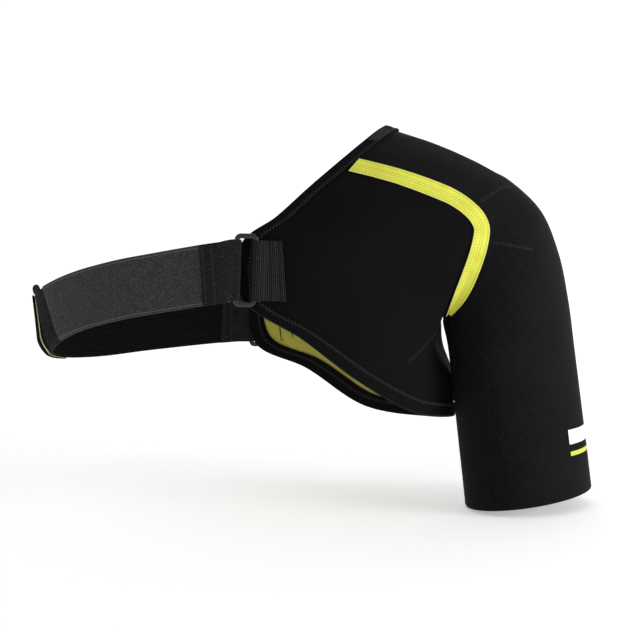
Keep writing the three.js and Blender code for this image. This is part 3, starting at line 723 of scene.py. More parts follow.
def webbing_cloth(name, pitch, groups=None):
    """Ribbed webbing: ribs run along u, the weft crosses them; groups is the pitch of grooves, bumped and
    painted dark as shade.
    """
    m = Nodes(name)
    rib = m.ramp(m.sine(m.v, pitch, math.pi / 2), 0.3, 0.9)
    side = m.math("SIGN", m.math("SINE", m.times(m.v, math.pi / pitch)))
    weave = m.math("SINE", m.scaled(m.u, 2 * math.pi / 1.5, m.times(side, 1.57)))
    weave = m.scaled(weave, 0.5, 0.5)
    height = m.times(rib, m.scaled(weave, 0.5, 0.5))
    if groups:
        height = m.times(height, m.ramp(m.sine(m.v, groups, 0.9), 0.05, 0.3, 0.15, 1.0))
    grain = m.noise(800, 2.0, 0.6)
    wear_and_glint_noise = m.noise(150, 3.0, 0.6)
    # Painted shade in the grooves between ribs and painted light on the rib tops.
    colour = m.blend(height, "010101", "2b2b2e")
    # Painted highlights: glinting specks on the rib tops, their strength varied at random.
    rib_glint = m.times(m.ramp(grain, 0.56, 0.68), m.ramp(height, 0.3, 0.8))
    colour = m.blend(m.times(rib_glint, m.ramp(wear_and_glint_noise, 0.35, 0.65, 0.35, 1.0)), colour, "5e5e62")
    normal = m.bump(height, 0.0004, 1.0)
    return m.finish(colour, 0.66, normal, 0.14, 0.01, (0.8, 0.8, 0.85))


def loop_cloth():
    """Brushed loop fabric with a paler woven edge: v runs across the strap from its middle."""
    m = Nodes("loop_fabric")
    fuzz = m.noise(1100, 4.0, 0.7)
    clumps = m.noise(330, 3.0, 0.6)
    threads = m.times(m.sine(m.u, 1.5), m.sine(m.v, 1.6, 1.0))
    base = m.blend(m.ramp(clumps, 0.35, 0.65), "1e1e1f", "2e2e30")
    base = m.blend(m.ramp(fuzz, 0.47, 0.66, 0.0, 0.75), base, "555558")
    base = m.blend(m.times(threads, 0.45), base, "101011")
    from_edge = m.math("SUBTRACT", strap_width / 2, m.math("ABSOLUTE", m.v))
    inner = m.math("SUBTRACT", m.ramp(from_edge, 2.3, 2.7, 1.0, 0.0), m.ramp(from_edge, 1.7, 1.95, 1.0, 0.0))
    rim = m.ramp(from_edge, 0.2, 0.5, 0.35, 0.0)
    edge = m.times(m.plus(inner, rim), m.scaled(m.sine(m.u, 0.9), 0.5, 0.4))
    colour = m.blend(edge, base, "606064")
    height = m.plus(fuzz, m.times(clumps, 0.8))
    normal = m.bump(height, 0.0004, 0.7)
    return m.finish(colour, 0.95, normal, 0.12, 0.08, (0.75, 0.75, 0.78), 0.7)


def elastic_cloth():
    """Ribbed elastic: cords run along u, and the stretch weave crosses them."""
    m = Nodes("elastic")
    cord = m.ramp(m.sine(m.v, elastic_pitch, math.pi / 2), 0.35, 0.9)
    cross = m.sine(m.u, 1.1)
    grain = m.noise(800, 2.0, 0.6)
    height = m.plus(m.times(cord, 0.8), m.times(cross, 0.2))
    # Painted shade between the cords and painted light on their tops.
    lit = m.times(cord, m.scaled(cross, 0.35, 0.65))
    colour = m.blend(lit, "000001", "1f1f22")
    # Painted highlights: glinting specks on the cord tops.
    colour = m.blend(m.times(m.ramp(grain, 0.56, 0.72, 0.0, 0.6), cord), colour, "35353a")
    normal = m.bump(height, 0.0004, 1.0)
    return m.finish(colour, 0.75, normal, 0.08, 0.0)


def pale_cloth():
    m = Nodes("pale_lining")
    hooks = m.times(m.sine(m.u, 1.0), m.sine(m.v, 1.0))
    grain = m.noise(500, 2.0, 0.6)
    colour = m.blend(m.ramp(grain, 0.3, 0.7), "a8a572", "cbc98e")
    colour = m.blend(m.times(hooks, 0.3), colour, "dcdaa0")
    return m.finish(colour, 0.8, m.bump(hooks, 0.0003, 0.8), 0.25, 0.1)


def ring_plastic():
    m = Nodes("ring_plastic")
    grain = m.noise(1800, 2.0, 0.5)
    scuff = m.noise(180, 5.0, 0.7)
    colour = m.blend(m.ramp(scuff, 0.55, 0.8, 0.0, 0.5), "0c0c0e", "242428")
    rough = m.ramp(scuff, 0.3, 0.75, 0.26, 0.46)
    return m.finish(colour, rough, m.bump(grain, 0.00006, 0.4), 0.5)


def thread_cloth(name, dark, light, rough=0.5):
    m = Nodes(name)
    twist = m.noise(2500, 2.0, 0.6)
    colour = m.blend(m.ramp(twist, 0.3, 0.7), dark, light)
    return m.finish(colour, rough, m.bump(twist, 0.0001, 0.6), 0.4)


# Lit and shaded copies of one neoprene: the panels' copy is darker as painted shade, the copy on the sleeve
# and closure tab lighter as painted light.
LIT_NEOPRENE = neoprene("neoprene", "0c0c0d", "121213", "1e1e21")
SHADED_PANEL_NEOPRENE = neoprene("shaded_panel_neoprene", "040405", "070708", "0e0e10")
BINDING = binding_cloth()
LIME_LINING = lime_lining()
LIME_TAPE = lime_tape()
WEBBING = webbing_cloth("webbing", webbing_pitch)
TAB_WEBBING = webbing_cloth("ring_tab_webbing", tab_pitch, tab_groups)
LOOP = loop_cloth()
ELASTIC = elastic_cloth()
PALE = pale_cloth()
PLASTIC = ring_plastic()
THREAD = thread_cloth("black_thread", "0a0a0d", "28282e")
SEAM_THREAD = thread_cloth("seam_thread", "0b0b0d", "222226")

# Camera

focal_pixels = 1498.9
frame_pixels = 625
sensor_width = 36
camera_data = bpy.data.cameras.new("camera")
camera_data.sensor_width = sensor_width
camera_data.lens = sensor_width * focal_pixels / frame_pixels
camera_data.clip_end = 20
camera = bpy.data.objects.new("camera", camera_data)
camera.location = (-0.154, -1.2929, 0.0119)
camera.rotation_euler = (math.radians(84), 0, 0)
bpy.context.scene.collection.objects.link(camera)
bpy.context.scene.camera = camera

# Sleeve and panels


def sleeve_wave(angle, run):
    """Slow unevenness of the hanging sleeve, still at the armhole and at the hem."""
    a = np.radians(angle)
    fade = (1 - smoothstep(run, 0.36, 0.52)) * smoothstep(run, 0.0, 0.06)
    slow = 0.55 * np.sin(3 * a + 9 * run) + 0.35 * np.sin(5 * a - 14 * run + 1.0)
    return fade * slow


def panel_wave(angle, run):
    """Slow unevenness in the middle of a panel."""
    share = (run - seam_run) / (1 - seam_run)
    a = np.radians(angle)
    fade = smoothstep(share, 0.2, 0.45) * (1 - smoothstep(share, 0.55, 0.8))
    away = smoothstep(np.abs(angle - side_seam_angle), 6, 22)
    return fade * away * (0.5 * np.sin(5 * a + 5 * share) + 0.3 * np.sin(9 * a - 6 * share))


def angles_between(low, high, step):
    """Even angles, and those of the seam's rows where they aren't close to one."""
    rows = np.concatenate([SEAM_ANGLES, 360 - SEAM_ANGLES])
    inside = np.concatenate([np.arange(low, high, step), rows[(rows > low) & (rows < high)], [high]])
    inside = np.unique(np.round(inside, 3))
    return inside[np.concatenate([[True], np.diff(inside) > 0.2])]


def add_sleeve():
    angle = angles_between(0, 360, 1.5)[:-1]
    start = np.zeros(len(angle))
    outer, inner, uv = shell_grids(angle, start, seam_at(angle), 84, 0, sleeve_wall, start, sleeve_wave)
    return sheet_object("sleeve_cloth", outer, inner, LIT_NEOPRENE, ("sleeve",), uv, closed=True)


side_gap = 0.06
FRONT = {"from": seam_start + 1, "to": side_seam_angle - side_gap, "open": 85}
BACK = {"from": side_seam_angle + side_gap, "to": 359 - seam_start, "open": 235}
lining_top = -panel_wall - seam_gap
lining_bottom = lining_top - lining_wall


def panel_lean(panel, angle):
    near = (angle - panel["open"]) / (side_seam_angle - panel["open"])
    return np.where(near > 0, side_seam_lean * near**2, 0)


def panel_start(angle):
    gap = np.where(seam_share(angle) > 0.01, 4, 2) * seam_gap
    return run_after(angle, seam_at(angle), gap)


def add_panel(name, panel, top, wall, material, node, step, rows):
    angle = angles_between(panel["from"], panel["to"], step)
    start = panel_start(angle)
    end = np.ones(len(angle))
    lean = panel_lean(panel, angle)
    outer, inner, uv = shell_grids(angle, start, end, rows, top, wall, lean, panel_wave)
    return sheet_object(name, outer, inner, material, (node,), uv)


# The sleeve takes the lit copy of the neoprene and the panels the shaded one: painted light and painted
# shade.
add_sleeve()
for node, panel, step in (("front_panel", FRONT, 1.0), ("back_panel", BACK, 1.5)):
    add_panel(node + "_cloth", panel, 0, panel_wall, SHADED_PANEL_NEOPRENE, node, step, 56)
for node, panel in (("front_lining", FRONT), ("back_lining", BACK)):
    add_panel(node + "_cloth", panel, lining_top, lining_wall, LIME_LINING, node, 2.0, 36)


# Flatlock stitches of the seams


def add_seam(name, angle, run):
    normal = surface_normal(angle, run)
    place = surface(angle, run)
    place = place + normal * (0.12 - pressed(place))[:, None]
    zigzag(name, place, normal, "seam", SEAM_THREAD)


for dart, line in DART_LINES.items():
    add_seam(dart + "_stitches", *line)
add_seam("underarm_seam_stitches", *seam_points(UNDERARM_SEAM, 160))
side_run = np.linspace(float(panel_start(np.array([side_seam_angle]))[0]) + 0.02, 0.9, 80)
side_angle = side_seam_angle + side_seam_lean * (1 - side_run) / (1 - side_run[0])
add_seam("side_seam_stitches", side_angle, side_run)


# Plain bars printed low on the sleeve


def printed_ink(name, colour):
    m = Nodes(name)
    wear_and_glint_noise = m.noise(900, 3.0, 0.6)
    colour = m.blend(m.ramp(wear_and_glint_noise, 0.66, 0.8, 0.0, 0.6), colour, "2a2a2c")
    return m.finish(colour, 0.55, m.bump(wear_and_glint_noise, 0.00005, 0.5), 0.3)


def add_bar(name, low, high, material):
    """Bar between two runs."""
    angle = np.linspace(*BAR_ANGLES, 60)[:, None]
    run = np.linspace(low, high, 8)[None]
    rise = 0.1 + sleeve_wave(angle, run)
    outer = offset(angle, run, rise + 0.06)
    inner = offset(angle, run, rise - 0.04)
    return sheet_object(name, outer, inner, material, (), grid_of(angle, run * 300))


BAR_ANGLES = (-14, 38)
add_bar("sleeve_print_white_bar", 0.074, 0.094, printed_ink("white_print", "e8e8e6"))
add_bar("sleeve_print_lime_bar", 0.058, 0.064, printed_ink("lime_print", "b9c23c"))

# Black thread ends on the back lining: angles and runs of their corners

LINING_MARKS = {
    "long": [(255.5, 0.964), (248.5, 0.974), (248.0, 0.9715)],
    "short": [(250.5, 0.954), (247.0, 0.961)],
}
for mark, corners in LINING_MARKS.items():
    corner_angle, corner_run = np.array(corners).T
    mark_normal = -surface_normal(corner_angle, corner_run)
    mark_place = surface(corner_angle, corner_run) - mark_normal * (lining_bottom - 0.15)
    thread = f"back_lining_{mark}_thread"
    stitch_row(thread, mark_place[:-1], mark_place[1:], mark_normal[:-1], 0.45, 0.2, THREAD)

# Armhole tape

tape_stiff_angle = 138  # from here the tape runs on stiff and straight over the armpit's crease
tape_stiffness = 0.9
tape_start = seam_start + 1.2
slant_fade = 6  # degrees over which the tape's slanted end fades
crease_start = 100  # degrees from which the tape lifts off the crease


def add_tape(name, face, node):
    a = np.linspace(tape_start, seam_end, 74)
    angle = a if face > 0 else 360 - a
    run = seam_at(angle)
    line = surface(angle, run)
    along = unit(np.gradient(line, axis=0))
    side = unit(np.cross(surface_normal(angle, run), along))
    across, half = across_rows(tape_width, tape_thickness, 24)
    near_start = (1 - smoothstep(a, seam_start, seam_start + slant_fade))[:, None] * (face > 0)
    back = near_start * tape_slant * (0.5 - across / tape_width)
    sideways = side[:, None] * across[:, None] - along[:, None] * back[..., None]
    wide_angle, wide_run = walk(angle[:, None], run[:, None], sideways, np.ones(back.shape))
    crease = crease_lift * smoothstep(a, crease_start, seam_end)[:, None]
    height = tape_gap + tape_thickness / 2 + crease
    normal = surface_normal(wide_angle, wide_run)
    centre = surface(wide_angle, wide_run) + normal * height[..., None]
    last = np.searchsorted(a, tape_stiff_angle)
    reach = np.linalg.norm(np.diff(line[last:], axis=0), axis=1).cumsum()[:, None, None]
    straight = centre[last] + unit(centre[last] - centre[last - 3]) * reach
    centre[last + 1 :] = mix(centre[last + 1 :], straight, tape_stiffness)
    normal[last + 1 :] = normal[last]
    uv = grid_of(lengths_along(line)[:, None] - back, across)
    outer = centre + normal * half[:, None]
    inner = centre - normal * half[:, None]
    return sheet_object(name, outer, inner, LIME_TAPE, (node,), uv)


add_tape("armhole_tape_front_cloth", 1, "armhole_tape_front")
add_tape("armhole_tape_back_cloth", -1, "armhole_tape_back")

# Bindings

front_tip_angle = 99
back_tip_angle = 261
binding_top = tape_gap + binding_thickness
binding_bottom = lining_bottom - binding_top
back_leg_extra = 3.5  # the inner leg is wider on the lower back edge
BACK_LEG_ANGLES = (195, 225, 250, 275)  # it widens from the first to the second, and narrows again
pucker_height = 0.16
puckers = 150  # waves round the whole edge


def binding_section(angle):
    """Middle line of the folded binding at each angle: outer leg, fold and inner leg."""
    high = tape_gap + binding_thickness / 2
    low = lining_bottom - tape_gap - binding_thickness / 2
    turned = angle % 360
    wide = smoothstep(turned, *BACK_LEG_ANGLES[:2]) * (1 - smoothstep(turned, *BACK_LEG_ANGLES[2:]))
    extra = back_leg_extra * wide
    leg = run_after(angle, 1.0, -binding_width)
    inner_leg = run_after(angle, 1.0, -binding_width - extra)
    shares = np.linspace(0, 1, 7)
    run = leg[:, None] + (1 - leg[:, None]) * shares
    inner_run = inner_leg[:, None] + (1 - inner_leg[:, None]) * shares
    pucker = pucker_height * np.sin(np.radians(angle) * puckers)
    top = offset(angle[:, None], run, high + pucker[:, None] * (1 - shares))
    bottom = offset(angle[:, None], inner_run, low)
    edge = surface(angle, 1.0)
    out = unit(edge - surface(angle, leg))
    turn = np.radians(np.arange(75, -76, -15))
    rise = (high + low) / 2 + (high - low) / 2 * np.sin(turn)
    reach = binding_top * np.cos(turn) ** 0.8
    normal = surface_normal(angle, 1.0)
    fold = edge[:, None] + normal[:, None] * rise[:, None] + out[:, None] * reach[:, None]
    return np.concatenate([top, fold, bottom[:, ::-1]], axis=1)


def add_binding(name, low, high, node):
    angle = np.arange(low, high + 1.0)
    line = binding_section(angle)
    tangent = unit(np.gradient(line, axis=1))
    along = unit(np.gradient(line, axis=0))
    normal = unit(np.cross(along, tangent))
    half = np.full(line.shape[1], binding_thickness / 2)
    half[0] = half[-1] = 0.0
    half[1] = half[-2] = binding_thickness * 0.47
    uv = grid_of(lengths_along(surface(angle, 1.0))[:, None], lengths_along(line[0]))
    outer = line + normal * half[:, None]
    inner = line - normal * half[:, None]
    add_binding_stitches(name, angle)
    return sheet_object(name, outer, inner, BINDING, (node,), uv)


def add_binding_stitches(name, angle):
    run = run_after(angle, 1.0, -binding_width + 2.2)
    normal = surface_normal(angle, run)
    top = surface(angle, run) + normal * (binding_top + 0.05)
    zigzag(name + "_stitches", top, normal, "binding", THREAD)
    under = surface(angle, run) + normal * (binding_bottom - 0.05)
    zigzag(name + "_inner_stitches", under, -normal, "binding", THREAD)


add_binding("neck_binding_cloth", back_tip_angle - 360, front_tip_angle, "neck_binding")
add_binding("lower_binding_cloth", front_tip_angle, back_tip_angle, "lower_binding")


# Neck tab


neck_tab_span = 15
neck_tab_width = 0.8 * binding_width


def add_neck_tab():
    angle = np.linspace(neck_tab_angle, neck_tab_angle + neck_tab_span, 60)
    across, half = across_rows(neck_tab_width, neck_tab_thickness, 16)
    length = binding_width * 0.5 + across
    run = np.stack([run_after(angle, 1.0, -d) for d in length], axis=1)
    share = (angle - angle[0]) / (angle[-1] - angle[0])
    knob = 1.5 * np.exp(-(((share - 0.13) / 0.1) ** 2))
    ends = np.sqrt(np.clip(1 - (1 - np.minimum(share, 1 - share) / 0.03) ** 2, 0, 1))
    ends = np.where(np.minimum(share, 1 - share) > 0.03, 1, np.maximum(ends, 0.15))
    rounded = np.clip(1 - (np.abs(across) / (neck_tab_width / 2)) ** 4, 0, 1)
    base = binding_top + seam_gap + neck_tab_thickness / 2
    outer = offset(angle[:, None], run, base + half * ends[:, None] + knob[:, None] * rounded)
    inner = offset(angle[:, None], run, base - half * ends[:, None])
    uv = grid_of(share[:, None] * 30, across)
    nodes = ("neck_edge_tab",)
    return sheet_object("neck_edge_tab_cloth", outer, inner, WEBBING, nodes, uv)


add_neck_tab()

# Rings, straps and webbing

ring_lift = binding_top + seam_gap + webbing_thickness + seam_gap + ring_depth / 2
bar_centre = ring_opening / 2 + ring_bar / 2


def ring_frame(angle, out):
    """Place and axes of a ring: along points to the strap, across up, outward off the panel."""
    outward = surface_normal(angle, 1.0)
    across = surface(angle - 5, 1.0) - surface(angle + 5, 1.0)
    across = unit(across - outward * (across @ outward))
    across = -across if across[2] < 0 else across
    along = np.cross(outward, across)
    along = -along if along[0] > 0 else along
    place = surface(angle, 1.0) + outward * ring_lift + along * out
    return {"place": place, "along": along, "across": across, "outward": outward}


FRONT_RING = ring_frame(front_tip_angle, front_ring_out)
BACK_RING = ring_frame(back_tip_angle, back_ring_out)
loop_reach = webbing_loop_length * 0.8
front_row = FRONT_RING["place"] + FRONT_RING["along"] * loop_reach - np.array([0, 0, front_run_drop])
back_row = BACK_RING["place"] + BACK_RING["along"] * loop_reach
ROUTE = np.array(list(STRAP_ROWS.values())) * np.array([-chest_reach, chest_depth / 2, -panel_drop])
ROUTE = np.concatenate([[FRONT_RING["place"], front_row], ROUTE, [back_row, BACK_RING["place"]]])
last_row = len(ROUTE) - 1


def strap_at(row):
    row = np.asarray(row, float)
    flat = np.clip(row.ravel() / last_row, 0, 1)
    points = np.broadcast_to(ROUTE, (len(flat), *ROUTE.shape))
    return spline(points, flat).reshape(*row.shape, 3)


FINE_ROWS = np.linspace(0, last_row, 4001)
FINE_LENGTHS = lengths_along(strap_at(FINE_ROWS))


def row_after(row, length):
    """Row reached after a length along the route."""
    return np.interp(np.interp(row, FINE_ROWS, FINE_LENGTHS) + length, FINE_LENGTHS, FINE_ROWS)


def route_frame(row):
    row = np.asarray(row, float)
    place = strap_at(row)
    along = unit(strap_at(row + 0.05) - strap_at(row - 0.05))
    level = unit(np.array([0.0, 0, 1]) - along * along[..., 2:3])
    lean = np.radians(turn_lean) * (1 - smoothstep(np.abs(row - turn_row), 0, 3))[..., None]
    across = level * np.cos(lean) + np.cross(level, along) * np.sin(lean)
    return place, along, across, unit(np.cross(across, along))


roll_height = 14  # the lower edge of the strap's outer turn rolls inwards over this height
roll_reach = 7  # and by this much


def level_ribs(along, across):
    return 0


def square_end(along, across, length):
    return 0 * across


def add_band(
    name, low, high, step, thickness, lift, material, node,
    width=strap_width, fine=50, ribs=level_ribs, shape_end=square_end, lean=0,
):
    """Band on the route between two rows: lift places its inner face, shape_end moves an end along."""
    length = np.interp(high, FINE_ROWS, FINE_LENGTHS) - np.interp(low, FINE_ROWS, FINE_LENGTHS)
    at = np.linspace(0, length, max(int(length / step), 4))
    across, half = across_rows(width, thickness, fine)
    along = at[:, None] + shape_end(at[:, None], across, length)
    row = row_after(low, along.ravel()).reshape(along.shape)
    place, _, across_axis, outward = route_frame(row)
    c, s = np.cos(np.radians(lean)), np.sin(np.radians(lean))
    across_axis, outward = across_axis * c - outward * s, outward * c + across_axis * s
    ends = np.clip(np.minimum(at, length - at) / (thickness / 2), 0, 1)
    ends = np.maximum(np.sqrt(1 - (1 - ends) ** 2), 0.3)[:, None]
    rise = ribs(at[:, None], across) * (half == half.max())
    centre = lift(row.ravel()).reshape(row.shape) + thickness / 2
    spot = place + across_axis * across[:, None]
    low_edge = np.clip(1 - (across + width / 2) / roll_height, 0, 1) ** 2
    spot[..., 0] += roll_reach * low_edge * np.exp(-((row - turn_row) ** 2))
    outer = spot + outward * (centre + (half + rise) * ends)[..., None]
    inner = spot + outward * (centre - (half + rise) * ends)[..., None]
    uv = grid_of(along, across)
    return sheet_object(name, outer, inner, material, (node,), uv)


def slanted(at, across, length):
    """Slant of the grey strap's far end."""
    return smoothstep(at, length - 60, length) * strap_slant * across / strap_width


def rounded(at, across, length):
    """Round lower corner of the closure tab's free end."""
    down = np.clip(corner_radius - (across + closure_width / 2), 0, corner_radius)
    back = corner_radius - np.sqrt(np.maximum(corner_radius**2 - down**2, 0))
    return back * (1 - at / length)


def round_rectangle(half, radius, count):
    """Points round a rectangle with round corners, and the directions off it."""
    turn = np.radians(90 * np.arange(4)[:, None] + np.linspace(0, 90, count))
    away = np.stack([np.cos(turn), np.sin(turn)], axis=-1)
    centre = np.array([(1, 1), (-1, 1), (-1, -1), (1, -1)]) * (np.array(half) - radius)
    return (centre[:, None] + away * radius).reshape(-1, 2), away.reshape(-1, 2)


def add_ring(name, ring, node):
    """Moulded ring: a rounded section swept round a rectangle with round corners."""
    half = (ring_opening / 2 + ring_bar / 2, strap_width / 2 + ring_clearance + ring_bar / 2)
    path, away = round_rectangle(half, ring_corner - ring_bar / 2, 13)
    section, _ = round_rectangle((ring_bar / 2, ring_depth / 2), 0.95, 7)
    side = np.cross(ring["across"], ring["outward"])
    flat = path[:, None] + away[:, None] * section[:, :1]
    in_plane = flat[..., :1] * side + flat[..., 1:] * ring["across"]
    rings = ring["place"] + in_plane + section[:, 1:] * ring["outward"]
    return sweep_object(name, rings, PLASTIC, (node,), True, 60)


def add_fold(name, ring, reach, length, layer, node, ribs, fine, upright=False):
    """Webbing folded round a bar of a ring; layer places points at a distance, a side and a height."""
    across, half = across_rows(strap_width, webbing_thickness, fine)
    distance = np.concatenate([[0], np.linspace(0.4, length, 64)])
    bar = ring["place"] + ring["along"] * reach * bar_centre
    soft = 0.5
    turn = np.radians(np.arange(90, -91, -15))
    count = len(distance)
    arc = (length * 2 + math.pi * 2.4) * np.concatenate(
        [np.linspace(0, 0.46, count), np.linspace(0.465, 0.535, len(turn)), np.linspace(0.54, 1, count)]
    )
    rise = ribs(arc[:, None], across) * (half == half.max())
    ends = np.ones(len(arc))
    ends[0] = ends[-1] = 0.35
    grids = []
    for sign in (1, -1):
        lift = webbing_thickness / 2 + sign * half * ends[:, None] + (rise if sign > 0 else 0)
        top = layer(distance[::-1], across, 1, lift[:count])
        radius = soft + seam_gap + lift[count : count + len(turn)]
        x = ring_bar / 2 - soft + radius * np.cos(turn)[:, None]
        y = np.where(turn >= 0, 1, -1)[:, None] * (ring_depth / 2 - soft) + radius * np.sin(turn)[:, None]
        middle = bar + across[:, None] * ring["across"] + y[..., None] * ring["outward"]
        middle = middle - x[..., None] * reach * ring["along"]
        bottom = layer(distance, across, -1, lift[count + len(turn) :])
        grids.append(np.concatenate([top, middle, bottom]))
    uv = grid_of(arc[:, None], across)
    if upright:
        uv = uv[..., ::-1]
    material = TAB_WEBBING if upright else WEBBING
    return sheet_object(name, grids[0], grids[1], material, (node,), uv)


webbing_slant = -5  # a webbing loop's end leans to the ring at its top
tab_slant = 5  # a ring tab's end is cut at a slant


def webbing_loop_layer(ring, start, direction, thickness):
    wide = ring_depth / 2 + seam_gap

    def layer(distance, across, side, height):
        slant = 1 + webbing_slant * across / strap_width / webbing_loop_length
        along = distance[:, None] * mix(1, slant, smoothstep(distance, ring_bar, ring_bar * 3)[:, None])
        place, _, up, outward = route_frame(row_after(start, direction * (bar_centre + along)))
        ease = smoothstep(along, ring_bar, ring_bar * 4)
        lift = mix(wide, thickness / 2 + strap_clearance, ease) + height
        far = place + up * across[:, None] + outward * (side * lift)[..., None]
        near = ring["place"] + (bar_centre + along)[..., None] * ring["along"]
        near = near + across[:, None] * ring["across"] + (side * lift)[..., None] * ring["outward"]
        return mix(near, far, smoothstep(along, ring_bar / 2, ring_bar * 3)[..., None])

    return layer


def ring_tab_layer(ring, angle, out, length):
    def layer(distance, across, side, height):
        slant = 1 - tab_slant * across / strap_width / length
        along = distance[:, None] * mix(1, slant, smoothstep(distance, ring_bar, ring_bar * 3)[:, None])
        a, t = walk(angle, 1.0, -ring["along"], along + bar_centre - out)
        on_panel = smoothstep(along, binding_width, length)
        base = mix(binding_top, strap_clearance, on_panel) + seam_gap
        spread = smoothstep(along, ring_bar, binding_width)
        under = webbing_thickness + mix(ring_depth + 2 * seam_gap, seam_gap, spread)
        lift = base + (under + height if side > 0 else webbing_thickness - height)
        return offset(a, t, lift) + across[:, None] * ring["across"]

    return layer


def cord_ribs(pitch, height):
    """Ribs along the band."""
    return lambda along, across: height * np.cos(2 * np.pi * across / pitch) + 0 * along


def tab_ribs(along, across):
    """Groups of ribs across the ring tab."""
    turn = 2 * np.pi * along
    return 0.16 * (np.cos(turn / tab_pitch) + np.cos(turn / tab_groups)) + 0 * across


elastic_top = -strap_thickness / 2 - strap_clearance
strap_end = ring_opening / 2 + ring_bar + 5
closure_end = row_after(closure_end_row, closure_length)
closure_base = elastic_top + strap_clearance
closure_width = strap_width + 2 * closure_overhang
closure_lean = 3  # the soft tab leans less than the strap under it, in degrees
corner_radius = 18  # round lower corner of the closure tab
strap_slant = 2  # slant of the grey strap's end


def level_lift(height):
    return lambda row: np.full(len(row), height)


def elastic_lift(row):
    ease = smoothstep(row, last_row - 4, last_row - 1.5)
    return mix(elastic_top - elastic_thickness, -elastic_thickness / 2, ease)


COLUMN_DISTANCES = (2.8, 9.8)  # from the loop's end


def add_column_stitches(name, layer, length):
    """Columns of zigzag stitches across a webbing loop, near its end, on both sides."""
    across = np.linspace(-strap_width / 2 + 1.5, strap_width / 2 - 1.5, 60)
    heights = [np.full((1, 60), webbing_thickness + lift) for lift in (0.1, 1.1)]
    for side, face in ((1, "outer"), (-1, "inner")):
        for column, back in enumerate(COLUMN_DISTANCES):
            distance = np.array([length - back])
            low, high = (layer(distance, across, side, height)[0] for height in heights)
            row = f"{name}_{face}_{column + 1}"
            zigzag(row, low, unit(high - low), "webbing", SEAM_THREAD)


# Ring, ring tab and webbing loop at each tip
TIPS = {
    "front": (FRONT_RING, front_tip_angle, front_ring_out, front_tab_length, 0, 1, strap_thickness),
    "back": (BACK_RING, back_tip_angle, back_ring_out, back_tab_length, last_row, -1, elastic_thickness),
}
for tip, (ring, tip_angle, out, tab_length, tip_row, direction, thickness) in TIPS.items():
    add_ring(tip + "_ring_moulded", ring, tip + "_ring")
    tab = ring_tab_layer(ring, tip_angle, out, tab_length)
    node = tip + "_ring_tab"
    add_fold(node + "_webbing", ring, -1, tab_length, tab, node, tab_ribs, 40, upright=True)
    loop = webbing_loop_layer(ring, tip_row, direction, thickness)
    node = tip + "_webbing_loop"
    add_fold(node + "_ribbed", ring, 1, webbing_loop_length, loop, node, cord_ribs(webbing_pitch, 0.1), 150)
    add_column_stitches(tip + "_webbing_stitches", loop, webbing_loop_length)
add_band(
    "front_strap_loop_cloth", row_after(0, strap_end), loop_end_row - 0.07, 2.5, strap_thickness,
    level_lift(-strap_thickness / 2), LOOP, "front_strap", shape_end=slanted,
)
add_band(
    "back_strap_elastic", loop_end_row - 0.5, row_after(last_row, -strap_end), 4, elastic_thickness,
    elastic_lift, ELASTIC, "back_strap", fine=100, ribs=cord_ribs(elastic_pitch, 0.14),
)
add_band(
    "closure_tab_cloth", closure_end_row, closure_end, 1.5, closure_thickness,
    level_lift(closure_base + closure_lining_thickness + seam_gap),
    LIT_NEOPRENE, "closure_tab", width=closure_width, fine=60, shape_end=rounded, lean=closure_lean,
)
add_band(
    "closure_tab_lining_cloth", row_after(closure_end_row, -3), closure_end, 1.5, closure_lining_thickness,
    level_lift(closure_base), PALE, "closure_tab_lining", fine=60,
    shape_end=rounded, lean=closure_lean,
)


# Rolled corner on the closure tab

pull_shift = np.array([2.4, 0, 1.5])  # the rolled corner leans over the strap


def add_pull():
    place, along, across, outward = (v[0] for v in route_frame(np.array([closure_end_row + 0.3])))
    centre = place + across * (closure_width / 2 + seam_gap + pull_radius * 1.15) + pull_shift
    centre = centre + outward * (closure_base + closure_lining_thickness + closure_thickness / 2)
    around = np.radians(np.arange(0, 360, 10))
    up = np.radians(np.linspace(-88, 88, 25))
    ring = []
    for height in up:
        crease = np.abs(np.cos(around * 0.5 - height)) ** 12
        spiral = 1 + 0.07 * np.cos(around - 2.2 * height) - 0.05 * crease
        radius = pull_radius * math.cos(height) ** 0.7 * spiral
        level = pull_radius * 1.15 * math.sin(height)
        wide = along * (radius * np.cos(around))[:, None]
        deep = outward * (0.8 * radius * np.sin(around))[:, None]
        ring.append(centre + wide + deep + across * level)
    nodes = ("closure_tab_pull",)
    return sweep_object("closure_tab_pull_rolled", np.array(ring), WEBBING, nodes, False, 80)


add_pull()

# Floor, backdrop and light

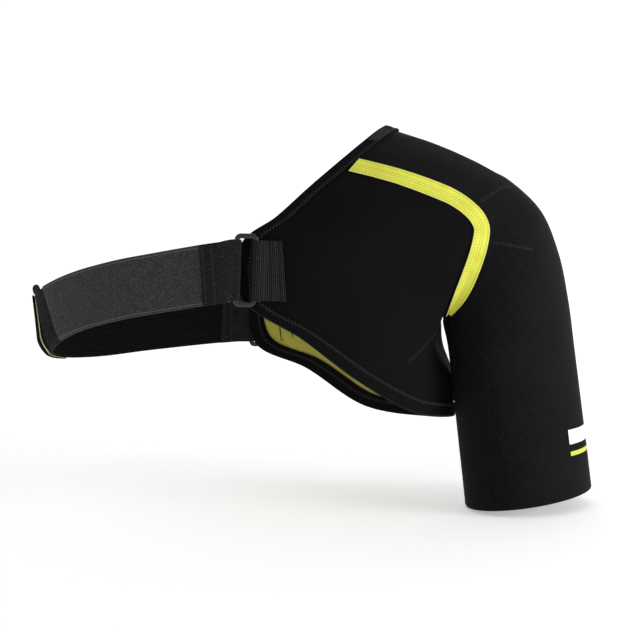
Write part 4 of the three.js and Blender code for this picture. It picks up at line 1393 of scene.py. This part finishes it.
floor_level = cad_box[0][2] - 0.001
floor_glow = 0.36
sky_glow = 0.52


def add_stage():
    """Floor that curves up into a backdrop."""
    near, bend, high, side = -3.0, 1.2, 4.0, 4.0
    turns = np.linspace(0, math.pi / 2, 41)
    curve = [(bend + bend * math.sin(t), bend - bend * math.cos(t)) for t in turns]
    profile = [(near, 0.0), *curve, (2 * bend, high)]
    vertices = [(x, y, floor_level + z) for x in (-side, side) for y, z in profile]
    count = len(profile)
    faces = [(k, k + 1, count + k + 1, count + k) for k in range(count - 1)]
    mesh = bpy.data.meshes.new("floor")
    mesh.from_pydata(vertices, [], faces)
    mesh.shade_smooth()
    m = Nodes("floor")
    soft = m.noise(3, 2.0, 0.5)
    material = m.finish(m.blend(soft, (0.86, 0.86, 0.86), (0.88, 0.88, 0.88)), 0.9, None, 0.1)
    m.shader.inputs["Emission Color"].default_value = (1, 1, 1, 1)
    m.shader.inputs["Emission Strength"].default_value = floor_glow
    mesh.materials.append(material)
    floor = bpy.data.objects.new("floor", mesh)
    bpy.context.scene.collection.objects.link(floor)


def add_light(name, location, target, size, power):
    data = bpy.data.lights.new(name, "AREA")
    data.shape = "DISK"
    data.size = size
    data.energy = power
    light = bpy.data.objects.new(name, data)
    light.location = location
    away = np.array(location) - np.array(target)
    flat = math.hypot(away[0], away[1])
    light.rotation_euler = (math.atan2(flat, away[2]), 0, math.atan2(away[1], away[0]) + math.pi / 2)
    bpy.context.scene.collection.objects.link(light)


add_stage()
lit_point = (-0.15, 0.0, -0.13)
add_light("key_light", (-0.9, -1.5, 1.5), lit_point, 1.2, 3)
add_light("fill_light", (1.8, -0.7, 0.05), lit_point, 1.2, 40)
add_light("top_light", (0.0, 0.3, 1.8), lit_point, 1.6, 1.5)
world = bpy.data.worlds.new("studio")
world.use_nodes = True
sky = world.node_tree.nodes["Background"]
sky.inputs["Color"].default_value = (1, 1, 1, 1)
sky.inputs["Strength"].default_value = sky_glow
bpy.context.scene.world = world
bpy.context.scene.view_settings.view_transform = "Standard"
